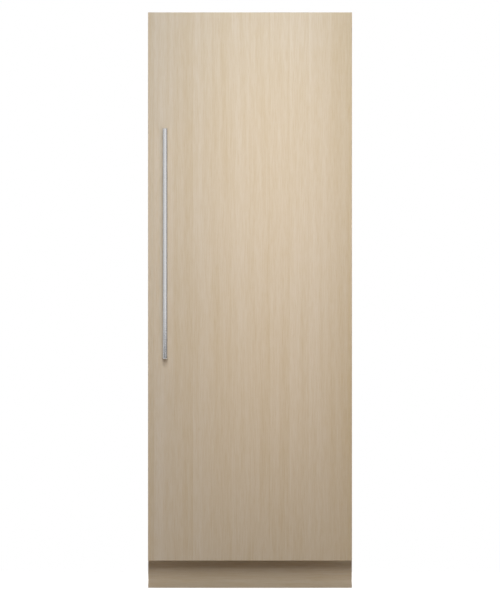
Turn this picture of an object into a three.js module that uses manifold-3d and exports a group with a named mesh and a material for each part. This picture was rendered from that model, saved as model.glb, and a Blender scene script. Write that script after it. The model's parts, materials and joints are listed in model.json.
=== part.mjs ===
// A panel-ready column refrigerator: an insulated steel case with a full-height wood-faced door on
// articulated hinges, glass shelves, drawers and door bins inside, and its cooling machinery at the
// rear foot. Millimetres, +Z up, the front towards -Y. While it is built, y = 0 is the front of the
// case; at the end the group moves so that the origin is under the middle of the whole, on the floor.

import * as THREE from 'three';
import Module from 'manifold-3d';
import { mergeVertices } from 'three/addons/utils/BufferGeometryUtils.js';

const wasm = await Module();
wasm.setup();

// Driving dimensions
const overallHeight = 2134;
const panelWidth = 756;
const panelThickness = 19;
const panelBottom = 102;
const panelOverlap = 5;
const caseDepth = 549;
const topReveal = 44;
const bottomReveal = 32;
const doorSideGap = 1;
const doorDepth = 52;
const gasketDepth = 9;
const sideWall = 50;
const ceilingWall = 55;
const floorWall = 50;
const backWall = 59;
const steelSheet = 1;
const linerSheet = 1.5;
const machineHeight = 302;
const machineDepth = 209;
const humpWall = 45;
const baseClearance = 28;
const overrun = 5;
const fitGap = 0.3;

// Counts of the sides of round pieces
const fineSides = 28;
const roundSides = 20;
const plainSides = 12;

const caseHalf = panelWidth / 2 - panelOverlap;
const caseTop = overallHeight - topReveal;
const caseBottom = panelBottom + bottomReveal;
const doorHalf = caseHalf - doorSideGap;
const doorBack = -gasketDepth;
const doorFront = doorBack - doorDepth;
const panelFront = doorFront - panelThickness;
const linerHalf = caseHalf - sideWall;
const linerTop = caseTop - ceilingWall;
const linerFloor = caseBottom + floorWall;
const linerBack = caseDepth - backWall;

// Finishes of the pieces
const paleOak = { color: 0xdccab0, roughness: 0.5, metalness: 0 };
const satinSteel = { color: 0xb9b6b2, roughness: 0.35, metalness: 1 };
const greyPaint = { color: 0x8c8f92, roughness: 0.5, metalness: 0.2 };
const zincSteel = { color: 0xa7abae, roughness: 0.4, metalness: 0.9 };
const blackPaint = { color: 0x1c1d1f, roughness: 0.5, metalness: 0.3 };
const whitePlastic = { color: 0xf1f2f2, roughness: 0.35, metalness: 0 };
const greyPlastic = { color: 0x9a9da0, roughness: 0.5, metalness: 0 };
const darkPlastic = { color: 0x2b2d30, roughness: 0.5, metalness: 0 };
const yellowFoam = { color: 0xe3d7a4, roughness: 0.95, metalness: 0 };
const clearPlastic = { color: 0xe6eef0, roughness: 0.1, metalness: 0, transparent: true, opacity: 0.45 };
const clearGlass = { color: 0xdff0ea, roughness: 0.05, metalness: 0, transparent: true, opacity: 0.35 };
const finAluminium = { color: 0xc9ccce, roughness: 0.35, metalness: 1 };
const copper = { color: 0xb87350, roughness: 0.3, metalness: 1 };
const sealRubber = { color: 0xd9d9d6, roughness: 0.7, metalness: 0 };
const tyreRubber = { color: 0x303030, roughness: 0.8, metalness: 0 };

// Solids: a closed three.js geometry becomes a solid that can be cut and joined

function solidFrom(geometry) {
  const bare = geometry.clone();
  bare.deleteAttribute('normal');
  bare.deleteAttribute('uv');
  const merged = mergeVertices(bare);
  const vertProperties = Float32Array.from(merged.attributes.position.array);
  const triVerts = Uint32Array.from(merged.index.array);
  return new wasm.Manifold(new wasm.Mesh({ numProp: 3, vertProperties, triVerts }));
}

function geometryFrom(solid) {
  const mesh = solid.getMesh();
  const geometry = new THREE.BufferGeometry();
  geometry.setAttribute('position', new THREE.BufferAttribute(mesh.vertProperties, 3));
  geometry.setIndex(new THREE.BufferAttribute(mesh.triVerts, 1));
  geometry.computeVertexNormals();
  return geometry;
}

function joined(...solids) {
  return solids.reduce((whole, piece) => whole.add(piece));
}

function cut(solid, ...tools) {
  return tools.reduce((left, tool) => left.subtract(tool), solid);
}

// A box between two limits on each axis, in either order
function slab([x0, x1], [y0, y1], [z0, z1]) {
  const geometry = new THREE.BoxGeometry(Math.abs(x1 - x0), Math.abs(y1 - y0), Math.abs(z1 - z0));
  geometry.translate((x0 + x1) / 2, (y0 + y1) / 2, (z0 + z1) / 2);
  return solidFrom(geometry);
}

// The turns that lay a shape drawn in two axes across the third: [y, z] for x, [x, z] for y
const layAcross = {
  x: new THREE.Matrix4().makeBasis(
    new THREE.Vector3(0, 1, 0), new THREE.Vector3(0, 0, 1), new THREE.Vector3(1, 0, 0)),
  y: new THREE.Matrix4().makeBasis(
    new THREE.Vector3(1, 0, 0), new THREE.Vector3(0, 0, 1), new THREE.Vector3(0, -1, 0)),
  z: new THREE.Matrix4(),
};

// A shape carried along one axis between two limits
function prism(axis, shape, [from, to]) {
  const depth = Math.abs(to - from);
  const geometry = new THREE.ExtrudeGeometry(shape, { depth, bevelEnabled: false });
  geometry.applyMatrix4(layAcross[axis]);
  const start = axis === 'y' ? Math.max(from, to) : Math.min(from, to);
  const move = { x: 0, y: 0, z: 0 };
  move[axis] = start;
  geometry.translate(move.x, move.y, move.z);
  return solidFrom(geometry);
}

function outline(points) {
  return new THREE.Shape(points.map(([u, v]) => new THREE.Vector2(u, v)));
}

// A round rod along one axis; the centre is given on the other two axes, in X, Y, Z order
function rod(axis, radius, [from, to], [u, v], sides = roundSides) {
  const length = Math.abs(to - from);
  const geometry = new THREE.CylinderGeometry(radius, radius, length, sides);
  const middle = (from + to) / 2;
  if (axis === 'x') {
    geometry.rotateZ(Math.PI / 2);
    geometry.translate(middle, u, v);
  } else if (axis === 'y') {
    geometry.translate(u, middle, v);
  } else {
    geometry.rotateX(Math.PI / 2);
    geometry.translate(u, v, middle);
  }
  return solidFrom(geometry);
}

// A pipe of round section along a smooth path
function pipe(points, radius, sides, steps) {
  const section = new THREE.Shape();
  section.absarc(0, 0, radius, 0, 2 * Math.PI);
  const extrudePath = new THREE.CatmullRomCurve3(points.map((point) => new THREE.Vector3(...point)));
  const options = { steps, curveSegments: sides / 2, extrudePath, bevelEnabled: false };
  return solidFrom(new THREE.ExtrudeGeometry(section, options));
}

// A solid of revolution about Z, from [radius, height] points that start and end on the axis
function turned(points, sides) {
  const profile = points.map(([radius, height]) => new THREE.Vector2(radius, height));
  const geometry = new THREE.LatheGeometry(profile, sides);
  geometry.rotateX(Math.PI / 2);
  return solidFrom(geometry);
}

// A band of even width along a path in the plane, with round ends
function bandShape(path, halfWidth, endSteps) {
  const left = [];
  const right = [];
  let side;
  path.forEach((point, k) => {
    const before = path[Math.max(k - 1, 0)];
    const after = path[Math.min(k + 1, path.length - 1)];
    side = after.clone().sub(before).setLength(halfWidth);
    side = new THREE.Vector2(-side.y, side.x);
    left.push(point.clone().add(side));
    right.unshift(point.clone().sub(side));
  });
  const firstSide = left[0].clone().sub(path[0]);
  const cap = (centre, start) => Array.from({ length: endSteps - 1 }, (_, k) => {
    const turn = -Math.PI * (k + 1) / endSteps;
    return start.clone().rotateAround(new THREE.Vector2(), turn).add(centre);
  });
  const lastCap = cap(path[path.length - 1], side);
  const firstCap = cap(path[0], firstSide.negate());
  return new THREE.Shape([...left, ...lastCap, ...right, ...firstCap]);
}

// A frame round a rectangular hole, lying across Y
function rectangularRing([x0, x1], [z0, z1], margin, [y0, y1]) {
  const whole = slab([x0, x1], [y0, y1], [z0, z1]);
  const hole = slab([x0 + margin, x1 - margin], [y0 - overrun, y1 + overrun], [z0 + margin, z1 - margin]);
  return cut(whole, hole);
}

const fridge = new THREE.Group();
const cabinet = new THREE.Group();
const door = new THREE.Group();
fridge.add(cabinet, door);

function addPiece(parent, name, solid, finish, [x, y, z] = [0, 0, 0]) {
  const mesh = new THREE.Mesh(geometryFrom(solid), new THREE.MeshStandardMaterial(finish));
  mesh.name = name;
  mesh.position.set(x, y, z);
  parent.add(mesh);
}

const sides = [['left', -1], ['right', 1]];
const ends = [['top', 1], ['bottom', -1]];

// The case: steel outside, foam in the walls, a moulded liner inside

const machineFront = caseDepth - machineDepth;
const machineTop = baseClearance + machineHeight;
const deckTop = machineTop + linerSheet;
const humpFront = machineFront - humpWall;
const humpTop = deckTop + humpWall + linerSheet;
const skinBack = caseDepth - steelSheet;

function addCaseSkins() {
  for (const [name, side] of sides) {
    const across = [side * (caseHalf - steelSheet), side * caseHalf];
    const panel = slab(across, [0, skinBack], [caseBottom, caseTop]);
    addPiece(cabinet, `side_panel_${name}`, panel, greyPaint);
  }
  const between = [-caseHalf + steelSheet, caseHalf - steelSheet];
  const roof = slab(between, [steelSheet, skinBack], [caseTop - steelSheet, caseTop]);
  addPiece(cabinet, 'top_panel', roof, greyPaint);
  const back = slab([-caseHalf, caseHalf], [skinBack, caseDepth], [machineTop, caseTop]);
  addPiece(cabinet, 'back_panel', back, zincSteel);
}

// The liner's room seen from the side, with the step over the machine space; grow adds its wall
function roomShape(grow) {
  return outline([
    [0, linerFloor - grow],
    [humpFront + grow, linerFloor - grow],
    [humpFront + grow, humpTop - grow],
    [linerBack + grow, humpTop - grow],
    [linerBack + grow, linerTop + grow],
    [0, linerTop + grow],
  ]);
}

function addFrontFrame() {
  const between = [-caseHalf + steelSheet, caseHalf - steelSheet];
  const plate = slab(between, [0, steelSheet], [caseBottom, caseTop]);
  const mouthHalf = linerHalf + linerSheet;
  const mouth = slab([-mouthHalf, mouthHalf], [-overrun, overrun],
    [linerFloor - linerSheet, linerTop + linerSheet]);
  addPiece(cabinet, 'front_frame', cut(plate, mouth), greyPaint);
}

function addLiner() {
  const outer = prism('x', roomShape(linerSheet), [-linerHalf - linerSheet, linerHalf + linerSheet]);
  const room = prism('x', roomShape(0), [-linerHalf, linerHalf]);
  const mouth = slab([-linerHalf, linerHalf], [-overrun, overrun], [linerFloor, linerTop]);
  addPiece(cabinet, 'inner_liner', cut(outer, room, mouth), whitePlastic);
}

function addBaseDeck() {
  const deckShape = outline([
    [steelSheet, caseBottom],
    [machineFront + linerSheet, caseBottom],
    [machineFront + linerSheet, machineTop],
    [skinBack, machineTop],
    [skinBack, deckTop],
    [machineFront, deckTop],
    [machineFront, caseBottom + linerSheet],
    [steelSheet, caseBottom + linerSheet],
  ]);
  const deck = prism('x', deckShape, [-caseHalf + steelSheet, caseHalf - steelSheet]);
  addPiece(cabinet, 'base_deck', deck, zincSteel);
}

function addFoam() {
  const blockShape = outline([
    [steelSheet, caseBottom + linerSheet],
    [machineFront, caseBottom + linerSheet],
    [machineFront, deckTop],
    [skinBack, deckTop],
    [skinBack, caseTop - steelSheet],
    [steelSheet, caseTop - steelSheet],
  ]);
  const block = prism('x', blockShape, [-caseHalf + steelSheet, caseHalf - steelSheet]);
  const linerOuter = prism('x', roomShape(linerSheet), [-linerHalf - linerSheet, linerHalf + linerSheet]);
  addPiece(cabinet, 'foam_body', cut(block, linerOuter), yellowFoam);
}

// The base: a sheet steel frame with the machine tray, two levelling feet and two rear rollers

const baseSheet = 2;
const baseFlange = 30;
const crossMemberY = 62;
const crossMemberHeight = 72;
const topFlangeFrom = 95;
const trayOverlap = 6;
const trayLip = 32;
const footInset = 43;
const footY = 90;
const footBracketThickness = 6;
const footBracketHalf = 25;
const footRodRadius = 5;
const footPadRadius = 19;
const footPadThickness = 8;
const footNutRadius = 9;
const footNutHeight = 8;
const footRodTop = 76;
const rollerInset = 44;
const rollerRearInset = 49;
const rollerRadius = 25;
const rollerWidth = 24;
const rollerGroove = 2;
const rollerGrooveShare = 0.3;
const axleRadius = 4;
const earSideGap = 1;
const earHalf = 12;
const earDrop = 10;
const earHeight = 30;
const kickThickness = 19;
const kickTopDrop = 1.5;

const sideInner = caseHalf - baseSheet;
const footX = caseHalf - footInset;
const rollerX = caseHalf - rollerInset;
const rollerY = caseDepth - rollerRearInset;
const crossMemberTop = baseClearance + crossMemberHeight;
const kickTop = panelBottom - kickTopDrop;

function sideRail(side) {
  const plateX = [side * sideInner, side * caseHalf];
  const flangeX = [side * (caseHalf - baseFlange), side * caseHalf];
  const plate = slab(plateX, [kickThickness, skinBack], [baseClearance, caseBottom]);
  const lower = slab(flangeX, [kickThickness, skinBack], [baseClearance, baseClearance + baseSheet]);
  const upper = slab(flangeX, [topFlangeFrom, machineFront], [caseBottom - baseSheet, caseBottom]);
  return joined(plate, lower, upper);
}

function footBracket(side) {
  const reach = [side * (footX - footBracketHalf), side * sideInner];
  const along = [crossMemberY + baseSheet / 2, footY + footBracketHalf];
  const plate = slab(reach, along, [baseClearance, baseClearance + footBracketThickness]);
  const hole = rod('z', footRodRadius + fitGap, [0, footRodTop], [side * footX, footY]);
  return { plate, hole };
}

// Two ears with the axle between them, for one rear roller
function rollerFork(side) {
  const half = rollerWidth / 2 + earSideGap;
  const drop = [rollerRadius - earDrop, rollerRadius + earHeight];
  const along = [rollerY - earHalf, rollerY + earHalf];
  const inner = slab([side * (rollerX - half - baseSheet), side * (rollerX - half)], along, drop);
  const outer = slab([side * (rollerX + half), side * (rollerX + half + baseSheet)], along, drop);
  const axleEnds = [side * (rollerX - half - baseSheet / 2), side * (rollerX + half + baseSheet / 2)];
  const axle = rod('x', axleRadius, axleEnds, [rollerY, rollerRadius]);
  const well = slab(
    [side * (rollerX - half), side * (rollerX + half)],
    [rollerY - rollerRadius - earSideGap, rollerY + rollerRadius + earSideGap],
    [baseClearance - overrun, baseClearance + overrun]);
  return { metal: joined(inner, outer, axle), well };
}

function addBaseFrame() {
  const crossX = [-sideInner - baseSheet / 2, sideInner + baseSheet / 2];
  const cross = slab(crossX, [crossMemberY, crossMemberY + baseSheet], [baseClearance, crossMemberTop]);
  const trayY = [machineFront - trayOverlap, skinBack];
  const tray = slab(crossX, trayY, [baseClearance, baseClearance + baseSheet]);
  const lip = slab(crossX, [skinBack - baseSheet, skinBack], [baseClearance, baseClearance + trayLip]);
  let frame = joined(sideRail(-1), sideRail(1), cross, tray, lip);
  for (const [, side] of sides) {
    const bracket = footBracket(side);
    const fork = rollerFork(side);
    frame = cut(joined(frame, bracket.plate), bracket.hole, fork.well);
    frame = joined(frame, fork.metal);
  }
  addPiece(cabinet, 'base_frame', frame, zincSteel);
}

function addFeet() {
  const pad = rod('z', footPadRadius, [0, footPadThickness], [0, 0]);
  const stem = rod('z', footRodRadius, [0, footRodTop], [0, 0]);
  const nutTop = baseClearance - fitGap;
  const nut = rod('z', footNutRadius, [nutTop - footNutHeight, nutTop], [0, 0], plainSides / 2);
  const foot = joined(pad, stem, nut);
  for (const [name, side] of sides) {
    addPiece(cabinet, `foot_${name}`, foot, zincSteel, [side * footX, footY, 0]);
  }
}

function addRollers() {
  const half = rollerWidth / 2;
  const bore = axleRadius + fitGap;
  const grooveHalf = half * rollerGrooveShare;
  const tread = rollerRadius - rollerGroove;
  const profile = [
    [bore, -half], [rollerRadius, -half], [rollerRadius, -grooveHalf], [tread, -grooveHalf],
    [tread, grooveHalf], [rollerRadius, grooveHalf], [rollerRadius, half], [bore, half], [bore, -half],
  ];
  const quarterTurn = 90;
  const roller = turned(profile, fineSides).rotate([0, quarterTurn, 0]);
  for (const [name, side] of sides) {
    addPiece(cabinet, `roller_${name}`, roller, tyreRubber, [side * rollerX, rollerY, rollerRadius]);
  }
}

function addToeKick() {
  const across = [-panelWidth / 2, panelWidth / 2];
  addPiece(cabinet, 'toe_kick', slab(across, [0, kickThickness], [0, kickTop]), paleOak);
}

// The finned coils: plates along the tubes, and the tubes joined by bends outside the end plates

const finSheet = 1;
const coilTubeRadius = 4;
const coilTubeSides = 6;
const bendSteps = 5;
const coilPasses = 4;

function finnedCoil({ width, depth, height, fins, reach, drop }) {
  const tubeY = depth / 2;
  const pitch = height / coilPasses;
  const passZ = (k) => pitch * (k + 0.5);
  const pieces = [];
  for (let k = 0; k < fins; k += 1) {
    const x = (width - finSheet) * k / (fins - 1);
    const isEnd = k === 0 || k === fins - 1;
    const y = isEnd ? [0, depth + reach] : [0, depth];
    const z = isEnd ? [-drop, height] : [0, height];
    pieces.push(slab([x, x + finSheet], y, z));
  }
  for (let k = 0; k < coilPasses; k += 1) {
    pieces.push(rod('x', coilTubeRadius, [-coilTubeRadius, width + coilTubeRadius],
      [tubeY, passZ(k)], coilTubeSides));
  }
  // Each bend is a half turn between one pass and the next, on alternate ends of the coil
  for (let k = 0; k + 1 < coilPasses; k += 1) {
    const outward = k % 2 === 0 ? 1 : -1;
    const x = outward > 0 ? width : 0;
    const middle = (passZ(k) + passZ(k + 1)) / 2;
    const radius = pitch / 2;
    const points = Array.from({ length: bendSteps + 1 }, (_, n) => {
      const angle = -Math.PI / 2 + Math.PI * n / bendSteps;
      const out = coilTubeRadius / 2 + coilTubeRadius * 2 * Math.cos(angle);
      return [x + outward * out, tubeY, middle + radius * Math.sin(angle)];
    });
    pieces.push(pipe(points, coilTubeRadius, coilTubeSides, bendSteps));
  }
  return joined(...pieces);
}

// A fan: a round duct with a motor on crossed ribs, and a bladed rotor on the motor's shaft

const ductWall = 3;
const ribWidth = 7;
const ribDepth = 3;
const motorDepth = 14;
const shaftRadius = 2.5;
const bladeSheet = 1.6;
const bladeAngle = 0.55;
const bladeCount = 5;
const bladeTipGap = 3;

function fanDuct(boreRadius, depth, motorRadius) {
  const centre = [0, 0];
  const reach = boreRadius + ductWall / 2;
  const bore = rod('y', boreRadius, [-overrun, depth + overrun], centre, fineSides);
  const tube = cut(rod('y', boreRadius + ductWall, [0, depth], centre, fineSides), bore);
  const level = slab([-reach, reach], [0, ribDepth], [-ribWidth / 2, ribWidth / 2]);
  const upright = slab([-ribWidth / 2, ribWidth / 2], [0, ribDepth], [-reach, reach]);
  const motor = rod('y', motorRadius, [0, motorDepth], centre);
  const shaft = rod('y', shaftRadius, [0, depth], centre, plainSides);
  return joined(tube, level, upright, motor, shaft);
}

function fanRotor(boreRadius, depth, motorRadius) {
  const tip = boreRadius - bladeTipGap;
  const from = motorDepth + fitGap;
  const to = depth - ribDepth;
  const middle = (from + to) / 2;
  const hub = rod('y', motorRadius, [from, to], [0, 0]);
  const pieces = [hub];
  for (let k = 0; k < bladeCount; k += 1) {
    const half = (to - from) / 2;
    const blade = new THREE.BoxGeometry(2 * half, bladeSheet, tip - motorRadius / 2);
    blade.rotateZ(bladeAngle);
    blade.translate(0, middle, (tip + motorRadius / 2) / 2);
    blade.rotateY(2 * Math.PI * k / bladeCount);
    pieces.push(solidFrom(blade));
  }
  const bore = rod('y', shaftRadius + fitGap, [0, depth + overrun], [0, 0], plainSides);
  return cut(joined(...pieces), bore);
}

// The machine space at the rear foot: compressor, condenser with its fan, drain pan and electronics

const machineFloor = baseClearance + baseSheet;
const compressorInset = 138;
const compressorRadius = 80;
const compressorHeight = 165;
const compressorShellShares = [
  [0, 0], [0.74, 0], [0.9, 0.1], [0.94, 0.45], [1, 0.46],
  [1, 0.52], [0.94, 0.53], [0.9, 0.82], [0.62, 0.97], [0, 1],
];
const mountPlateHalfX = 74;
const mountPlateHalfY = 70;
const mountPlateThickness = 3;
const grommetHeight = 7;
const grommetRadius = 9;
const grommetInset = 12;
const stubRadius = 4;
const stubReach = 12;
const stubHeightShare = 0.6;
const condenserLeftGap = 48;
const condenserRightGap = 65;
const condenserDepth = 45;
const condenserHeight = 200;
const condenserLift = 36;
const condenserFrontGap = 12;
const condenserFins = 7;
const shroudGap = 11;
const condenserFanRadius = 66;
const condenserFanDepth = 34;
const condenserMotorRadius = 19;
const shroudSheet = 3;
const shroudHeight = 156;
const panWall = 2;
const panHeight = 30;
const panSideGap = 6;
const panReach = 172;
const boardBoxInset = 43;
const boardBoxWidth = 140;
const boardBoxDepth = 130;
const boardBoxHeight = 100;
const boardBoxRearGap = 12;
const coverSheet = 1.5;
const ventWidth = 9;
const ventHeight = 56;
const ventRowGap = 16;
const ventPitch = 32;
const ventMargin = 60;
const ventRows = 2;
const inletInset = 123;
const inletLift = 92;
const inletHalfX = 15;
const inletHalfZ = 11;
const inletDepth = 24;
const inletFlange = 5;
const inletFlangeThickness = 2;
const inletWall = 3;
const inletPinRadius = 1.5;
const inletPinPitch = 7;

const compressorX = -caseHalf + compressorInset;
const stubEnd = compressorX + compressorRadius + stubReach;
const boardBoxX = caseHalf - boardBoxInset - boardBoxWidth;
const condenserX = stubEnd + condenserLeftGap;
const condenserWidth = boardBoxX - condenserRightGap - condenserX;
const inletX = caseHalf - inletInset;
const inletZ = baseClearance + inletLift;
const coverOutside = skinBack + coverSheet;
const machineMiddleY = (machineFront + linerSheet + skinBack) / 2;
const condenserY = machineFront + linerSheet + condenserFrontGap;
const condenserZ = machineFloor + condenserLift;
const stubZ = machineFloor + grommetHeight + mountPlateThickness + compressorHeight * stubHeightShare;

function compressorSolid() {
  const plateZ = machineFloor + grommetHeight;
  const shellZ = plateZ + mountPlateThickness;
  const profile = compressorShellShares.map(([across, up]) => [
    across * compressorRadius, shellZ + up * compressorHeight,
  ]);
  const plate = slab([-mountPlateHalfX, mountPlateHalfX], [-mountPlateHalfY, mountPlateHalfY],
    [plateZ, shellZ + linerSheet]);
  const pieces = [turned(profile, roundSides), plate];
  for (const [, sideX] of sides) {
    for (const [, sideY] of sides) {
      const at = [sideX * (mountPlateHalfX - grommetInset), sideY * (mountPlateHalfY - grommetInset)];
      pieces.push(rod('z', grommetRadius, [machineFloor, shellZ], at, plainSides));
    }
  }
  pieces.push(rod('x', stubRadius, [0, compressorRadius + stubReach], [0, stubZ], plainSides));
  return joined(...pieces);
}

function addMachinery() {
  addPiece(cabinet, 'compressor', compressorSolid(), blackPaint, [compressorX, machineMiddleY, 0]);

  const condenser = finnedCoil({
    width: condenserWidth,
    depth: condenserDepth,
    height: condenserHeight,
    fins: condenserFins,
    reach: shroudGap,
    drop: condenserLift,
  });
  addPiece(cabinet, 'condenser_coil', condenser, blackPaint, [condenserX, condenserY, condenserZ]);

  const fanX = condenserX + condenserWidth / 2;
  const fanY = condenserY + condenserDepth + shroudGap;
  const fanZ = condenserZ + condenserHeight / 2;
  const halfSheet = condenserWidth / 2;
  const sheet = slab([-halfSheet, halfSheet], [0, shroudSheet], [-shroudHeight / 2, shroudHeight / 2]);
  const mouth = rod('y', condenserFanRadius + ductWall / 2, [-overrun, overrun], [0, 0], fineSides);
  const duct = fanDuct(condenserFanRadius, condenserFanDepth, condenserMotorRadius);
  const shroud = joined(cut(sheet, mouth), duct);
  addPiece(cabinet, 'condenser_fan_frame', shroud, darkPlastic, [fanX, fanY, fanZ]);
  const rotor = fanRotor(condenserFanRadius, condenserFanDepth, condenserMotorRadius);
  addPiece(cabinet, 'condenser_fan_rotor', rotor, greyPlastic, [fanX, fanY, fanZ]);

  const panX = [condenserX + panSideGap, condenserX + condenserWidth - panSideGap];
  const panY = [condenserY, condenserY + panReach];
  const panZ = [machineFloor, machineFloor + panHeight];
  const hollow = slab(
    [panX[0] + panWall, panX[1] - panWall],
    [panY[0] + panWall, panY[1] - panWall],
    [panZ[0] + panWall, panZ[1] + overrun]);
  addPiece(cabinet, 'drain_pan', cut(slab(panX, panY, panZ), hollow), darkPlastic);

  const boxY = [skinBack - boardBoxRearGap - boardBoxDepth, skinBack - boardBoxRearGap];
  const boxZ = [machineTop - boardBoxHeight, machineTop];
  addPiece(cabinet, 'control_box', slab([boardBoxX, boardBoxX + boardBoxWidth], boxY, boxZ), greyPlastic);
}

// The hot gas pipe, from the compressor's stub to the condenser's top pass
const gasPipeRadius = 3;
const gasPipeSteps = 16;
const gasPipeShares = [
  [0, 0, 0], [0.12, 0, 0], [0.22, 0.03, 0.2], [0.24, 0.2, 0.7], [0.4, 0.8, 0.97], [0.7, 1, 1], [1, 1, 1],
];

function addGasPipe() {
  const start = [stubEnd + fitGap, machineMiddleY, stubZ];
  const topPass = condenserZ + condenserHeight * (coilPasses - 0.5) / coilPasses;
  const end = [condenserX - coilTubeRadius - fitGap, condenserY + condenserDepth / 2, topPass];
  const between = (share, k) => start[k] + share * (end[k] - start[k]);
  const route = gasPipeShares.map((shares) => shares.map(between));
  addPiece(cabinet, 'hot_gas_pipe', pipe(route, gasPipeRadius, coilTubeSides, gasPipeSteps), copper);
}

function addMachineCover() {
  const half = caseHalf - baseSheet;
  const coverZ = [machineFloor, machineTop];
  let cover = slab([-half, half], [skinBack, coverOutside], coverZ);
  const ventSpan = 2 * (half - ventMargin);
  const vents = Math.floor(ventSpan / ventPitch);
  const rowPitch = ventHeight + ventRowGap;
  const ventTop = machineTop - ventRowGap - baseSheet;
  const slots = [];
  for (let row = 0; row < ventRows; row += 1) {
    const top = ventTop - row * rowPitch;
    for (let k = 0; k <= vents; k += 1) {
      const x = ventPitch * (k - vents / 2);
      slots.push(slab([x - ventWidth / 2, x + ventWidth / 2], [skinBack - overrun, coverOutside + overrun],
        [top - ventHeight, top]));
    }
  }
  const hole = slab(
    [inletX - inletHalfX - fitGap, inletX + inletHalfX + fitGap],
    [skinBack - overrun, coverOutside + overrun],
    [inletZ - inletHalfZ - fitGap, inletZ + inletHalfZ + fitGap]);
  cover = cut(cover, ...slots, hole);
  addPiece(cabinet, 'machine_cover', cover, zincSteel);
}

// A mains inlet: a block through the cover, a flange outside it, and three contacts in its socket
function addPowerInlet() {
  const mouth = coverOutside + inletFlangeThickness;
  const blockY = [coverOutside - inletDepth, mouth];
  const block = slab([-inletHalfX, inletHalfX], blockY, [-inletHalfZ, inletHalfZ]);
  const flange = slab(
    [-inletHalfX - inletFlange, inletHalfX + inletFlange],
    [coverOutside, mouth],
    [-inletHalfZ - inletFlange, inletHalfZ + inletFlange]);
  const socket = slab(
    [-inletHalfX + inletWall, inletHalfX - inletWall],
    [coverOutside - inletDepth + inletWall, mouth + overrun],
    [-inletHalfZ + inletWall, inletHalfZ - inletWall]);
  const contactY = [coverOutside - inletDepth + inletWall / 2, mouth - inletWall];
  const contacts = [-1, 0, 1].map((k) => rod('y', inletPinRadius, contactY,
    [k * inletPinPitch, (k === 0 ? 1 : -1) * inletPinRadius], plainSides / 2));
  const inlet = joined(cut(joined(block, flange), socket), ...contacts);
  addPiece(cabinet, 'power_inlet', inlet, darkPlastic, [inletX, 0, inletZ]);
}

// The cold side: evaporator and its fan behind a duct cover on the rear wall

const coverSideGap = 93;
const coverDepth = 58;
const coverWall = 2.5;
const coverTopGap = 45;
const coverHeight = 750;
const louvreHalf = 160;
const louvreHeight = 5;
const louvrePitch = 13;
const louvreCount = 5;
const louvreMargin = 18;
const evaporatorWidth = 300;
const evaporatorDepth = 34;
const evaporatorHeight = 200;
const evaporatorFins = 7;
const evaporatorFromCover = 140;
const coldFanRadius = 52;
const coldFanDepth = 34;
const coldMotorRadius = 16;
const coldFanDrop = 200;

const coverHalf = linerHalf - coverSideGap;
const coverTop = linerTop - coverTopGap;
const coverBottom = coverTop - coverHeight;

function addColdSide() {
  const front = linerBack - coverDepth;
  const outer = slab([-coverHalf, coverHalf], [front, linerBack], [coverBottom, coverTop]);
  const hollow = slab(
    [-coverHalf + coverWall, coverHalf - coverWall],
    [front + coverWall, linerBack + overrun],
    [coverBottom + coverWall, coverTop - coverWall]);
  const louvres = [];
  for (let k = 0; k < louvreCount; k += 1) {
    const offset = louvreMargin + k * louvrePitch;
    for (const z of [coverTop - offset - louvreHeight, coverBottom + offset]) {
      louvres.push(slab([-louvreHalf, louvreHalf], [front - overrun, front + overrun],
        [z, z + louvreHeight]));
    }
  }
  const fanZ = coverTop - coldFanDrop;
  const mouth = rod('y', coldFanRadius + ductWall / 2, [front - overrun, front + overrun], [0, fanZ],
    fineSides);
  const duct = fanDuct(coldFanRadius, coldFanDepth, coldMotorRadius).translate([0, front, fanZ]);
  const cover = joined(cut(outer, hollow, mouth, ...louvres), duct);
  addPiece(cabinet, 'duct_cover', cover, whitePlastic);
  const rotor = fanRotor(coldFanRadius, coldFanDepth, coldMotorRadius);
  addPiece(cabinet, 'evaporator_fan_rotor', rotor, greyPlastic, [0, front, fanZ]);

  const evaporatorY = front + coverWall + (coverDepth - coverWall - evaporatorDepth) / 2;
  const coil = finnedCoil({
    width: evaporatorWidth,
    depth: evaporatorDepth,
    height: evaporatorHeight,
    fins: evaporatorFins,
    reach: linerBack - evaporatorY - evaporatorDepth,
    drop: 0,
  });
  const place = [-evaporatorWidth / 2, evaporatorY, coverBottom + evaporatorFromCover];
  addPiece(cabinet, 'evaporator_coil', coil, finAluminium, place);
}

// The light and the touch controls, in one housing under the ceiling

const housingSideGap = 113;
const housingFront = 60;
const housingDepth = 230;
const housingHeight = 28;
const lensSideMargin = 30;
const lensMargin = 24;
const lensThickness = 4;
const lensBody = 12;
const touchPadHalf = 9;
const touchPadDepth = 0.6;
const touchPadPitch = 34;
const touchPads = 5;
const touchPadTopMargin = 2.4;

const housingHalf = linerHalf - housingSideGap;
const lensHalf = housingHalf - lensSideMargin;

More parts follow.
